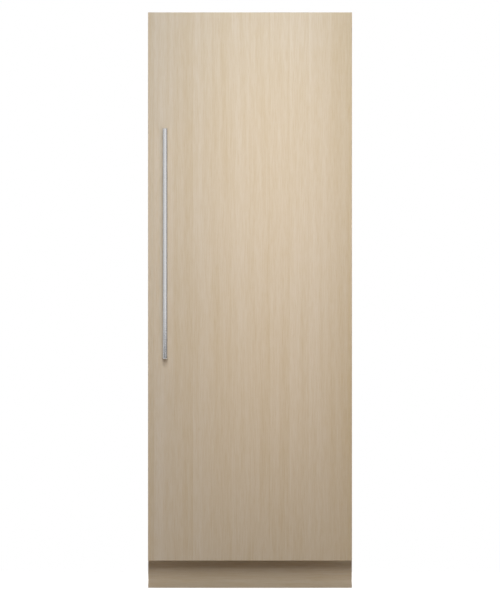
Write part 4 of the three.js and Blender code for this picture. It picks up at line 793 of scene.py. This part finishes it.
(back_x0, back_x1), (_, back_y1), (back_z0, back_z1) = limits("back_panel")
field_height = (back_z1 - back_z0 - 2 * FIELD_MARGIN - (FIELD_ROWS - 1) * FIELD_GAP) / FIELD_ROWS
fields = []
for row in range(FIELD_ROWS):
    low = back_z0 + FIELD_MARGIN + row * (field_height + FIELD_GAP)
    for span in ((back_x0 + FIELD_MARGIN, -FIELD_GAP / 2), (FIELD_GAP / 2, back_x1 - FIELD_MARGIN)):
        fields.append((span, (low, low + field_height)))
press_sheet("back_panel", "y", fields, (90, 160))

(top_x0, top_x1), y_span, _ = limits("top_panel")
bead_y = np.mean(y_span) + BEAD_BACK
beads = [((x - BEAD_WIDTH / 2, x + BEAD_WIDTH / 2), (bead_y - BEAD_LENGTH / 2, bead_y + BEAD_LENGTH / 2))
         for x in np.linspace(top_x0 * BEAD_SPREAD, top_x1 * BEAD_SPREAD, BEADS)]
press_sheet("top_panel", "z", beads, (200, 60))

# %% [markdown]
# The food space is one white moulding. Seen from the front it is a rounded rectangle at every depth, and
# only its floor changes: it steps up at the back, over the machine space. So the loft runs along y, and its
# rows come from an outline of depth and floor height with rounded corners. It ends in a soft curve into the
# rear wall, then comes forward again outside as the moulding's other face.
# %% Inner liner and front frame
STEP_DEPTH, STEP_HEIGHT, STEP_CORNERS = 295 * MM, 194 * MM, [22 * MM, 4.5 * MM]
ROOM_CORNER, REAR_CURVE, REAR_CORNER = mm(24, 20, 4)
room_x, room_y, room_z = limits("inner_liner")


def room_rows(grow):
    """Rows from the mouth to the rear wall, with everything `grow` outside the room's own face."""
    x0, x1 = room_x[0] + LINER_SHEET - grow, room_x[1] - LINER_SHEET + grow
    floor, roof = room_z[0] + LINER_SHEET - grow, room_z[1] - LINER_SHEET + grow
    rear = room_y[1] - LINER_SHEET + grow
    step_y = room_y[0] + STEP_DEPTH + grow
    line = rounded([(room_y[0], floor), (step_y, floor), (step_y, floor + STEP_HEIGHT),
                    (rear - REAR_CURVE, floor + STEP_HEIGHT)], STEP_CORNERS, 7)
    y, low = line.T
    ones = np.ones(len(y))
    rows = np.stack([x0 * ones, x1 * ones, low, roof * ones, (ROOM_CORNER + grow) * ones, y], axis=1)
    t = np.linspace(0, math.pi / 2, 7)[1:]
    inset = REAR_CURVE * (1 - np.cos(t))
    depth = rear - REAR_CURVE * (1 - np.sin(t))
    floor += STEP_HEIGHT
    ends = np.stack([x0 + inset, x1 - inset, floor + inset, roof - inset,
                     np.maximum(ROOM_CORNER + grow - inset, REAR_CORNER), depth], axis=1)
    return np.vstack([rows, ends])


rows = np.vstack([room_rows(0)[::-1], room_rows(LINER_SHEET)])
stand_in("inner_liner", "moulded", loft(rows, steps=9))

rim_x, (rim_y0, rim_y1), rim_z = limits("front_frame")
outer = [*rim_x, *rim_z, 0.5 * MM]
inner = [*room_x, *room_z, ROOM_CORNER + LINER_SHEET]
rows = [[*outer, rim_y0], [*inner, rim_y0], [*inner, rim_y1], [*outer, rim_y1]]
stand_in("front_frame", "pressed", loft(rows, ring=True, steps=9))

# %% [markdown]
# Under the case is a folded deck on a welded base. The deck is one sheet with two folds, so its section is
# a line with rounded corners, given the sheet's thickness by moving it half of it to either side. The base
# keeps the model's shape with its cut edges eased.
# %% Deck and base
DECK_SHEET, DECK_RISER, DECK_FOLD = mm(1.5, 340.75, 3)


def folded(line, thickness, radius, across):
    """A folded sheet: its middle line in y and z, offset both ways along its normal and carried along x."""
    middle = rounded(line, radius)
    along = np.gradient(middle, axis=0)
    normal = np.stack([-along[:, 1], along[:, 0]], axis=1)
    normal *= thickness / 2 / np.linalg.norm(normal, axis=1, keepdims=True)
    return arch(np.vstack([middle + normal, (middle - normal)[::-1]]), across)


x_span, (y0, y1), (z0, z1) = limits("base_deck")
low, high, riser_y = z0 + DECK_SHEET / 2, z1 - DECK_SHEET / 2, rim_y0 + DECK_RISER
line = [(y0, low), (riser_y, low), (riser_y, high), (y1, high)]
stand_in("base_deck", "folded", folded(line, DECK_SHEET, DECK_FOLD, x_span))
softened("base_frame", 0.4 * MM)

# %% [markdown]
# The case stands on two screwed feet in front and two rollers behind. A foot is turned: a dished pad and a
# threaded stem, whose thread is drawn as fine rings, with a hexagonal nut, which is a turned shape of six
# sides. A roller is a ring: rounded shoulders, a groove round its tread and a hub that stands back.
# %% Feet and rollers
STEM, THREAD_FROM, THREAD_PITCH, THREAD_DEPTH = mm(5, 11, 1.75, 0.55)
NUT_RADIUS, NUT_BORE, NUT_LOW, NUT_HIGH = 9 * MM, STEM * 0.8, 19.7 * MM, 27.7 * MM
BEVEL, PAD_EDGE, PAD_TOP, PAD_TOP_SHARE, COLLAR_TOP = 1.5 * MM, 4.5 * MM, 8 * MM, 0.55, 10 * MM
BORE, GROOVE, GROOVE_HALF, HUB, HUB_SLOPE, DISH, TYRE, TYRE_FLAT = mm(4.3, 2, 3.6, 11, 2, 2.5, 6, 3)
for side in ("left", "right"):
    node = "foot_" + side
    (x0, x1), (y0, y1), (z0, z1) = limits(node)
    centre, pad = ((x0 + x1) / 2, (y0 + y1) / 2, 0), (x1 - x0) / 2
    turns = np.arange(THREAD_FROM, z1 - 1 * MM, THREAD_PITCH / 2)
    thread = np.stack([STEM - np.where(np.arange(len(turns)) % 2, THREAD_DEPTH, 0), turns], axis=1)
    base = rounded([(0, 0), (pad - BEVEL, 0), (pad, BEVEL), (pad, PAD_EDGE), (pad * PAD_TOP_SHARE, PAD_TOP),
                    (STEM, PAD_TOP), (STEM, COLLAR_TOP)], 1.2 * MM, 4)
    profile = np.vstack([base, thread, [(STEM - 1 * MM, z1), (0, z1)]])
    nut = rounded([(NUT_BORE, NUT_LOW), (NUT_RADIUS, NUT_LOW), (NUT_RADIUS, NUT_HIGH), (NUT_BORE, NUT_HIGH)],
                  0.8 * MM, 3)
    stand_in(node, "turned", joined(turned(profile, centre, "z", 40), turned(nut, centre, "z", 6, ring=True)))

for side in ("left", "right"):
    node = "roller_" + side
    spans = limits(node)
    half, radius = ((high - low) / 2 for low, high in spans[::2])
    # From the bore out to the groove's floor on one side, and back on the other
    side_line = [(BORE, half), (HUB, half), (HUB + HUB_SLOPE, half - DISH), (radius - TYRE, half - DISH),
                 (radius - TYRE_FLAT, half), (radius, half - BEVEL), (radius, GROOVE_HALF),
                 (radius - GROOVE, GROOVE_HALF)]
    tread = [(out, -along) for out, along in side_line] + side_line[::-1] + [(BORE, 0)]
    centre = [(low + high) / 2 for low, high in spans]
    stand_in(node, "turned", turned(rounded(tread, 1.2 * MM, 4), centre, "x", 72, ring=True))

# %% [markdown]
# The compressor is two pressed shells welded at a flange. Its profile is turned, with soft shoulders. It
# stands on a plate with rounded corners, over four rubber grommets with a waist, and its copper stub leaves
# the side above the flange.
# %% Compressor
SHELL_RADIUS, PLATE_Z, PLATE_TOP, PLATE_CORNER = mm(80, 37, 41.5, 12)
PLATE_HALF_X, PLATE_HALF_Y, PLATE_FLAT, SHELL_SUNK = mm(74, 70, 10, 1.5)
STUB_RADIUS, STUB_STEP, STUB_HEIGHT_SHARE = 4 * MM, 3 * MM, 0.6
GROMMET_INSET, GROMMET_RADIUS, GROMMET_BORE = mm(12, 9, 3)
GROMMET_LOW, GROMMET_EDGE, GROMMET_NECK, NECK_SHARE = 30 * MM, 34 * MM, 35 * MM, 0.78
# The shell's profile, as shares of its radius and height
SHELL_SHARES = np.array([(0, 0), (0.74, 0), (0.9, 0.1), (0.94, 0.45), (1, 0.46), (1, 0.52), (0.94, 0.53),
                         (0.9, 0.82), (0.62, 0.97), (0, 1)])
(comp_x0, comp_x1), (y0, y1), (_, comp_z1) = limits("compressor")
centre_x, centre_y = comp_x0 + SHELL_RADIUS, (y0 + y1) / 2
shell_z, shell_height = PLATE_TOP - SHELL_SUNK, comp_z1 - PLATE_TOP + SHELL_SUNK
shell = np.stack([SHELL_SHARES[:, 0] * SHELL_RADIUS, shell_z + SHELL_SHARES[:, 1] * shell_height], axis=1)
plate_x = (centre_x - PLATE_HALF_X, centre_x + PLATE_HALF_X)
plate_y = (centre_y - PLATE_HALF_Y, centre_y + PLATE_HALF_Y)
plate_edge = rounded([(PLATE_FLAT, PLATE_Z), (0, PLATE_Z), (0, PLATE_TOP), (PLATE_FLAT, PLATE_TOP)], 0.8 * MM)
stand_in("compressor", "welded", joined(turned(rounded(shell, 16 * MM, 7), (centre_x, centre_y, 0), "z", 72),
                                        moulded(plate_x, plate_y, PLATE_CORNER, plate_edge, "z")))

stub_z = shell_z + shell_height * STUB_HEIGHT_SHARE
stub_root, stub_end = 0.7 * SHELL_RADIUS, comp_x1 - centre_x
stub = rounded([(0, stub_root), (STUB_RADIUS * 1.5, stub_root), (STUB_RADIUS * 1.5, SHELL_RADIUS),
                (STUB_RADIUS, SHELL_RADIUS + STUB_STEP), (STUB_RADIUS, stub_end), (0, stub_end)], 0.6 * MM, 3)
add("compressor_stub", turned(stub, (centre_x, centre_y, stub_z), "x", 32), "copper")

waist, rim = GROMMET_RADIUS * NECK_SHARE, PLATE_Z - 0.1 * MM
grommet = rounded([(GROMMET_BORE, GROMMET_LOW), (GROMMET_RADIUS, GROMMET_LOW), (GROMMET_RADIUS, GROMMET_EDGE),
                   (waist, GROMMET_NECK), (waist, rim), (GROMMET_BORE, rim)], 1 * MM, 4)
grommets = [turned(grommet, (x, y, 0), "z", 28, ring=True)
            for x in (plate_x[0] + GROMMET_INSET, plate_x[1] - GROMMET_INSET)
            for y in (plate_y[0] + GROMMET_INSET, plate_y[1] - GROMMET_INSET)]
add("compressor_grommets", joined(*grommets), "tyre_rubber")

# %% [markdown]
# A round tube is a circle carried along a path, and both the coils and the hot gas pipe need one. Fins are
# thin boxes that all repeat one pattern, so they are a single array: places along x plus one box's corners.
# %% Tubes and plates


def tube(path, radius, up, sides=16):
    """A round tube: at each point of the path a circle stands square to it. One of the circle's directions
    is square to both the path and `up`, which the path never follows."""
    along = np.gradient(path, axis=0)
    first = np.cross(along, up)
    second = np.cross(along, first)
    first /= np.linalg.norm(first, axis=1, keepdims=True)
    second /= np.linalg.norm(second, axis=1, keepdims=True)
    angle = np.linspace(0, 2 * math.pi, sides, endpoint=False)[None, :, None]
    points = path[:, None] + radius * (np.cos(angle) * first[:, None] + np.sin(angle) * second[:, None])
    return points, grid_faces(len(path), sides) + end_faces(len(path), sides)


def plates(x, thickness, span_y, span_z):
    """Thin boxes at several places along x, all from one pattern of eight corners."""
    corner = np.array([(i, j, k) for i in (0, 1) for j in (0, 1) for k in (0, 1)])
    y, z = np.array(span_y)[corner[:, 1]], np.array(span_z)[corner[:, 2]]
    points = on_axis("x", y[None], z[None], np.asarray(x)[:, None] + thickness * corner[None, :, 0])
    side = np.array([(0, 1, 3, 2), (4, 6, 7, 5), (0, 4, 5, 1), (2, 3, 7, 6), (0, 2, 6, 4), (1, 5, 7, 3)])
    faces = (side[None] + 8 * np.arange(len(x))[:, None, None]).reshape(-1, 4)
    return points, faces.tolist()


# %% [markdown]
# The condenser and the evaporator are the same kind of part: fins threaded on one tube that goes back and
# forth through them, with a plate at either end. The tube follows one path: straight passes joined by half
# turns, on alternate ends.
# %% Finned coils
TUBE_RADIUS, PASSES, BEND_REACH, BEND_ROOT, COIL_HEIGHT = 4 * MM, 4, 14 * MM, 2 * MM, 200 * MM
FIN_PITCH, FIN_SHEET, END_SHEET = mm(4, 0.35, 1)


def coil(node, depth, tube_slot):
    """Fins and end plates as one piece, the tube through them as another. A bend's reach is a cosine."""
    (x0, x1), (y0, y1), (z0, z1) = limits(node)
    x0, x1 = x0 + BEND_REACH, x1 - BEND_REACH
    low, tube_y = z1 - COIL_HEIGHT, y0 + depth / 2
    fins = np.arange(x0 + FIN_PITCH, x1 - FIN_PITCH / 2, FIN_PITCH)
    stand_in(node, "fins", joined(plates(fins, FIN_SHEET, (y0, y0 + depth), (low, z1)),
                                  plates([x0, x1 - END_SHEET], END_SHEET, (y0, y1), (z0, z1))))
    pitch = COIL_HEIGHT / PASSES
    angle = np.linspace(-math.pi / 2, math.pi / 2, 13)
    route = [[(x0 - TUBE_RADIUS, low + pitch / 2)]]
    for k in range(PASSES - 1):
        end, outward = (x1, 1) if k % 2 == 0 else (x0, -1)
        out = end + outward * (BEND_ROOT + (BEND_REACH - BEND_ROOT - TUBE_RADIUS) * np.cos(angle))
        route.append(np.stack([out, low + pitch * (k + 1) + pitch / 2 * np.sin(angle)], axis=1))
    route.append([(x0 - TUBE_RADIUS, z1 - pitch / 2)])
    x, z = np.vstack(route).T
    path = np.stack([x, np.full(len(x), tube_y), z], axis=1)
    add(node + "_tube", tube(path, TUBE_RADIUS, (0, 1, 0), 14), tube_slot)
    print(node, len(fins), "fins")


coil("condenser_coil", 45 * MM, "black_paint")
coil("evaporator_coil", 34 * MM, "copper")

# %% [markdown]
# The hot gas pipe joins the compressor's stub to the condenser's top pass. Its route is a few points given
# as shares of the way, with a curve that passes through all of them: between two points it blends the lines
# through their neighbours, spaced by the root of their distance, which keeps the bends from overshooting.
# %% Hot gas pipe
GAP, PIPE_RADIUS, PIPE_Y = mm(0.3, 3, 22.5)
ROUTE_SHARES = np.array([(0, 0, 0), (0.12, 0, 0), (0.22, 0.03, 0.2), (0.24, 0.2, 0.7), (0.4, 0.8, 0.97),
                         (0.7, 1, 1), (1, 1, 1)])


def curve_through(points, steps):
    """A centripetal Catmull-Rom curve through points: lines between neighbours, blended twice by time."""
    ends = np.vstack([2 * points[:1] - points[1:2], points, 2 * points[-1:] - points[-2:-1]])
    gap = np.linalg.norm(np.diff(ends, axis=0), axis=1) ** 0.5
    time = np.concatenate([[0], np.cumsum(gap)])
    p = [ends[k:len(ends) - 3 + k][:, None] for k in range(4)]
    m = [time[k:len(time) - 3 + k][:, None, None] for k in range(4)]
    t = m[1] + (m[2] - m[1]) * np.linspace(0, 1, steps, endpoint=False)[None, :, None]

    def blend(a, b, start, end):
        return (end - t) / (end - start) * a + (t - start) / (end - start) * b

    first = [blend(p[k], p[k + 1], m[k], m[k + 1]) for k in range(3)]
    second = [blend(first[k], first[k + 1], m[k], m[k + 2]) for k in range(2)]
    return np.vstack([blend(second[0], second[1], m[1], m[2]).reshape(-1, 3), points[-1:]])


(coil_x0, _), (coil_y0, _), (_, coil_z1) = limits("condenser_coil")
start = np.array([comp_x1 + GAP, centre_y, stub_z])
end = np.array([coil_x0 + BEND_REACH - TUBE_RADIUS - GAP, coil_y0 + PIPE_Y,
                coil_z1 - COIL_HEIGHT / PASSES / 2])
path = curve_through(start + ROUTE_SHARES * (end - start), 10)
stand_in("hot_gas_pipe", "bent", tube(path, PIPE_RADIUS, (0.55, 0.45, -0.7), 20))

# %% [markdown]
# A fan's rotor is a turned hub with five moulded blades. A blade is a thin curved surface: across its width
# it turns about the shaft and rises along it, with some camber, and it sweeps forward towards its tip. The
# same surface moved along the shaft is its other face. The fans' frames keep the model's shape.
# %% Fans
BLADES, SHAFT_BORE, TIP_GAP, BLADE_HALF = 5, 2.8 * MM, 0.2 * MM, 0.7 * MM


def rotor(node, hub_radius):
    """A hub and its blades. A blade's angle and height are functions of the radius r and the width s."""
    (x0, x1), (y0, y1), (z0, z1) = limits(node)
    centre_x, centre_z = (x0 + x1) / 2, (z0 + z1) / 2
    hub_rows = rounded([(SHAFT_BORE, y0), (hub_radius, y0), (hub_radius, y1), (SHAFT_BORE, y1),
                        (SHAFT_BORE, (y0 + y1) / 2)], 1.6 * MM)
    tip = min(x1 - x0, z1 - z0) / 2 - TIP_GAP
    r = np.linspace(hub_radius * 0.8, tip, 14)[:, None]
    s = np.linspace(-1, 1, 13)[None, :]
    out = (r - r[0]) / (tip - r[0])
    round_tip = np.sqrt(np.clip(1 - 0.22 * out**6, 0, 1))
    turn = 0.3 * out**1.5 + s * (0.36 + 0.12 * out) * round_tip
    half = (y1 - y0) / 2
    rise = (y0 + y1) / 2 + half * (0.84 - 0.3 * out) * s + 0.12 * half * (1 - s**2)
    parts = [turned(hub_rows, (centre_x, 0, centre_z), "y", 48, ring=True)]
    for angle in (turn + 2 * math.pi * k / BLADES for k in range(BLADES)):
        low, high = (on_axis("y", centre_x + r * np.cos(angle), centre_z + r * np.sin(angle), rise + offset)
                     for offset in (-BLADE_HALF, BLADE_HALF))
        # Walked as one ring: the lower face's columns forwards, the upper face's columns backwards
        walk = np.concatenate([low, high[:, ::-1]], axis=1)
        parts.append((walk, grid_faces(*walk.shape[:2]) + end_faces(*walk.shape[:2])))
    stand_in(node, "moulded", joined(*parts))


rotor("condenser_fan_rotor", 19 * MM)
rotor("evaporator_fan_rotor", 16 * MM)
softened("condenser_fan_frame", 0.5 * MM)

# %% [markdown]
# The drain pan is a plain moulded tray. The control box has a lid, whose seam is a fine groove all round.
# The rear cover and the mains inlet keep the model's shape, and small pan-head screws hold the cover and
# the back.
# %% Pan, control box, cover and screws
SEAM_DROP, SEAM_DEPTH, SEAM_HALF, BOX_FLAT = mm(24, 1.4, 0.6, 20)
SCREW_RADIUS, SCREW_HEIGHT, SCREW_SUNK, DIP_FLOOR, DIP_RIM, EDGE = mm(3.6, 1.4, 0.3, 1.1, 1.5, 12)


def screws(name, places, y):
    """Pan-head screws at (x, z) places on a sheet at y: a domed rim round a dip's round floor."""
    dip, top, foot = y + 0.5 * SCREW_HEIGHT, y + SCREW_HEIGHT, y - SCREW_SUNK
    dome = rounded([(0, dip), (DIP_FLOOR, dip), (DIP_RIM, top), (SCREW_RADIUS * 0.7, top),
                    (SCREW_RADIUS, y + 0.3 * SCREW_HEIGHT), (SCREW_RADIUS, foot), (0, foot)], 0.5 * MM, 3)
    add(name, joined(*[turned(dome, (x, 0, z), "y", 20) for x, z in places]), "zinc_steel")


stand_in("drain_pan", "moulded", tray(limits("drain_pan"), *mm(10, 2, 2.5, 1.2)))

x_span, y_span, (z0, z1) = limits("control_box")
seam_low, seam_high = z1 - SEAM_DROP - SEAM_HALF, z1 - SEAM_DROP + SEAM_HALF
side = rounded([(BOX_FLAT, z0), (0, z0), (0, seam_low), (SEAM_DEPTH, seam_low), (SEAM_DEPTH, seam_high),
                (0, seam_high), (0, z1), (BOX_FLAT, z1)], 2 * MM)
stand_in("control_box", "lidded", moulded(x_span, y_span, 5 * MM, side, "z"))

softened("machine_cover", 0.25 * MM)
softened("power_inlet", 0.4 * MM)

(x0, x1), (_, cover_y1), (z0, z1) = limits("machine_cover")
places = [(x, z1 - EDGE * 0.6) for x in np.linspace(x0 + EDGE, x1 - EDGE, 5)]
places += [(x, z0 + EDGE) for x in (x0 + EDGE, x1 - EDGE)]
screws("machine_cover_screws", places, cover_y1)
places = [(x, z) for x in (back_x0 + EDGE, back_x1 - EDGE)
          for z in np.linspace(back_z0 + 4 * EDGE, back_z1 - EDGE, 6)]
screws("back_panel_screws", places, back_y1)

# %% [markdown]
# Inside, the duct cover, the ceiling unit and the slotted tracks are crisp mouldings and pressings, so they
# keep the model's shape with eased edges. Glass is cut and ground: a slab with small radii, so that its rim
# catches light. A sheet of clear glass throws hardly any shadow, but a path tracer stops its shadow rays at
# glass and leaves a frame that lies under it black. So the four sheets let shadow rays by. They still mirror
# and tint what is seen in them.
# %% Fittings and glass
softened("duct_cover", 0.7 * MM)
softened("control_panel", 0.28 * MM)
softened("drawer_frame", 0.8 * MM)
eased_slab("ceiling_light", "z", 1.2 * MM, 1.0 * MM, "lens")
softened("shelf_track_left", 0.3 * MM)
softened("shelf_track_right", 0.3 * MM)
sheets = [(f"shelf_glass_{number}", 2, 0.6) for number in (1, 2, 3)] + [("drawer_cover_glass", 3, 0.8)]
for node, corner, edge in sheets:
    eased_slab(node, "z", corner * MM, edge * MM, "ground")
    bpy.data.objects[node + "_ground"].visible_shadow = False

# %% [markdown]
# A shelf's frame is a steel rim with a rebate that the glass lies in: one section carried round as a ring.
# A deeper bar closes its front. Two plates under it reach back into the tracks and hook over their slots,
# each an outline with its corners rounded.
# %% Shelf frames
RIM_WIDTH, RIM_HEIGHT, RIM_CORNER, LEDGE_WIDTH, LEDGE_HEIGHT = mm(10, 14, 3, 8, 4)
BAR_DROP, BAR_CORNER, BAR_FLAT, SEAM_FROM, SEAM_TO, WELD_RISE = mm(8, 2.4, 3, 4, 5, 1)
ARM_SHEET, ARM_ROOT, ARM_TIP, ARM_TIP_FROM, NECK, HOOK = mm(3, 52, 10, 30, 7, 3)
TRACK_SHEET, SLOT_PITCH, TAB_REACH, HOOK_DROP = mm(2, 40, 4, 5)
# Where two pieces of steel overlap, one face stands back this far, because two faces in one place go black
TUCK = 0.4 * MM
track_x, (track_y0, _), _ = limits("shelf_track_right")
arm_x, in_front, behind = sum(track_x) / 2, track_y0 - GAP, track_y0 + TRACK_SHEET + GAP
for number in (1, 2, 3):
    node = f"shelf_frame_{number}"
    (x0, x1), (y0, _), (_, top) = limits(node)
    rear = limits(f"shelf_glass_{number}")[1][1] + RIM_WIDTH + GAP
    middle, low, tucked = top - NECK / 2, top - RIM_HEIGHT, top - TUCK
    ledge_in, ledge_top = RIM_WIDTH + LEDGE_WIDTH, low + LEDGE_HEIGHT
    section = rounded([(SEAM_FROM, low), (0, low), (0, top), (RIM_WIDTH, top), (RIM_WIDTH, ledge_top),
                       (ledge_in, ledge_top), (ledge_in, low), (SEAM_TO, low)], 0.8 * MM, 4)
    rim_rows = inset_rows((x0, x1), (y0, rear), RIM_CORNER, section)
    rim_rows[:, 2] = np.maximum(rim_rows[:, 2], y0 + TUCK)
    bar_section = rounded([(BAR_FLAT, x0), (0, x0), (0, x1), (BAR_FLAT, x1)], 0.8 * MM)
    bar = moulded((y0, y0 + RIM_WIDTH - TUCK), (low - BAR_DROP, tucked), BAR_CORNER, bar_section, "x")
    parts = [loft(rim_rows, "z", ring=True), bar]
    tip_y, root, weld_y, weld_z = y0 + ARM_TIP_FROM, middle - ARM_ROOT, rear - RIM_WIDTH / 2, low + WELD_RISE
    plate = rounded([(tip_y, low), (tip_y, weld_z), (tip_y, low - ARM_TIP), (rear, root), (in_front, root),
                     (in_front, tucked), (weld_y, tucked), (weld_y, weld_z), (tip_y, weld_z)], 2.5 * MM)[1:-1]
    neck_low, tab_top = middle - NECK / 2, middle - SLOT_PITCH + NECK / 2
    neck = [(in_front, tucked), (behind + HOOK, tucked), (behind + HOOK, neck_low - HOOK_DROP),
            (behind, neck_low - HOOK_DROP), (behind, neck_low), (in_front, neck_low)]
    tab = [(in_front, tab_top), (track_y0 + TAB_REACH, tab_top), (track_y0 + TAB_REACH, tab_top - NECK),
           (in_front, tab_top - NECK)]
    for side in (-1, 1):
        across = (side * arm_x - ARM_SHEET / 2, side * arm_x + ARM_SHEET / 2)
        parts += [arch(outline, across) for outline in (plate, neck, tab)]
    stand_in(node, "welded", joined(*parts))

# %% [markdown]
# A drawer is a clear moulded tray with a thicker face and a scoop in its upper edge, for the fingers. It is
# lofted upwards like the bins, with extra points along its straight sides. The scoop is then pressed in: on
# the face, the top of the wall is lowered by the scoop's depth times a soft bump of x.
# %% Drawers
DRAWER_WALL, DRAWER_FACE, DRAWER_CORNER, FLOOR_FLAT, LIP = mm(3, 6, 12, 20, 1.4)
SCOOP_HALF, SCOOP_DEPTH, SCOOP_REACH, SCOOP_RAMP, SCOOP_SPREAD = mm(80, 14, 34, 30, 12)
SCOOP_ROWS = mm(24, 12, 0)
RIB_REACH, RIB_HALF, RIB_FROM, RIB_TIP, RIB_ROUND, RIB_PLAY = mm(5, 3, 60, 6, 1, 0.1)
for node in ("drawer_upper", "drawer_lower"):
    (x0, x1), (y0, y1), (z0, z1) = limits(node)
    x0, x1 = x0 + RIB_REACH, x1 - RIB_REACH
    wall_top = [(0, z1 - drop) for drop in (SCOOP_REACH, *SCOOP_ROWS)]
    floor_top = z0 + DRAWER_WALL
    outside = rounded([(FLOOR_FLAT, z0), (0, z0), *wall_top, (LIP, z1)], 1.2 * MM, 4)
    inside = rounded([(-LIP, z1), *wall_top[::-1], (0, floor_top), (FLOOR_FLAT, floor_top)], 1.2 * MM, 4)
    outer = inset_rows((x0, x1), (y0, y1), DRAWER_CORNER, outside)
    inner = inset_rows((x0 + DRAWER_WALL, x1 - DRAWER_WALL), (y0 + DRAWER_FACE, y1 - DRAWER_WALL),
                       DRAWER_CORNER - DRAWER_WALL, inside)
    points, faces = loft(np.vstack([outer, inner]), "z", steps=8, side_steps=28)
    x, y, z = np.moveaxis(points, -1, 0)
    face = y < y0 + DRAWER_FACE + 1 * MM
    bump = soft_step(SCOOP_HALF + SCOOP_SPREAD - np.abs(x), SCOOP_RAMP) * face
    z -= SCOOP_DEPTH * bump * soft_step(z - (z1 - SCOOP_REACH), SCOOP_REACH)
    parts, middle = [(points, faces)], (z0 + z1) / 2
    for wall, outward in ((x0, -1), (x1, 1)):
        start, end = wall + outward * RIB_PLAY, wall + outward * RIB_REACH
        tip = rounded([(RIB_TIP, start), (0, start), (0, end), (RIB_TIP, end)], RIB_ROUND, 3)
        tip[:, 0] = np.minimum(tip[:, 0], RIB_HALF - 0.5 * MM)
        rib_z = (middle - RIB_HALF, middle + RIB_HALF)
        parts.append(moulded((y0 + RIB_FROM, y1), rib_z, RIB_ROUND, tip, "x", steps=4))
    stand_in(node, "moulded", joined(*parts))

# %% [markdown]
# Every piece of the model that is still shown as it came gets the finish of its slot, so nothing is bare.
# %% Finish the rest
for name, node in frame["nodes"].items():
    if not node.hide_render:
        node.material_slots[0].material = FINISH[SLOTS[name]]
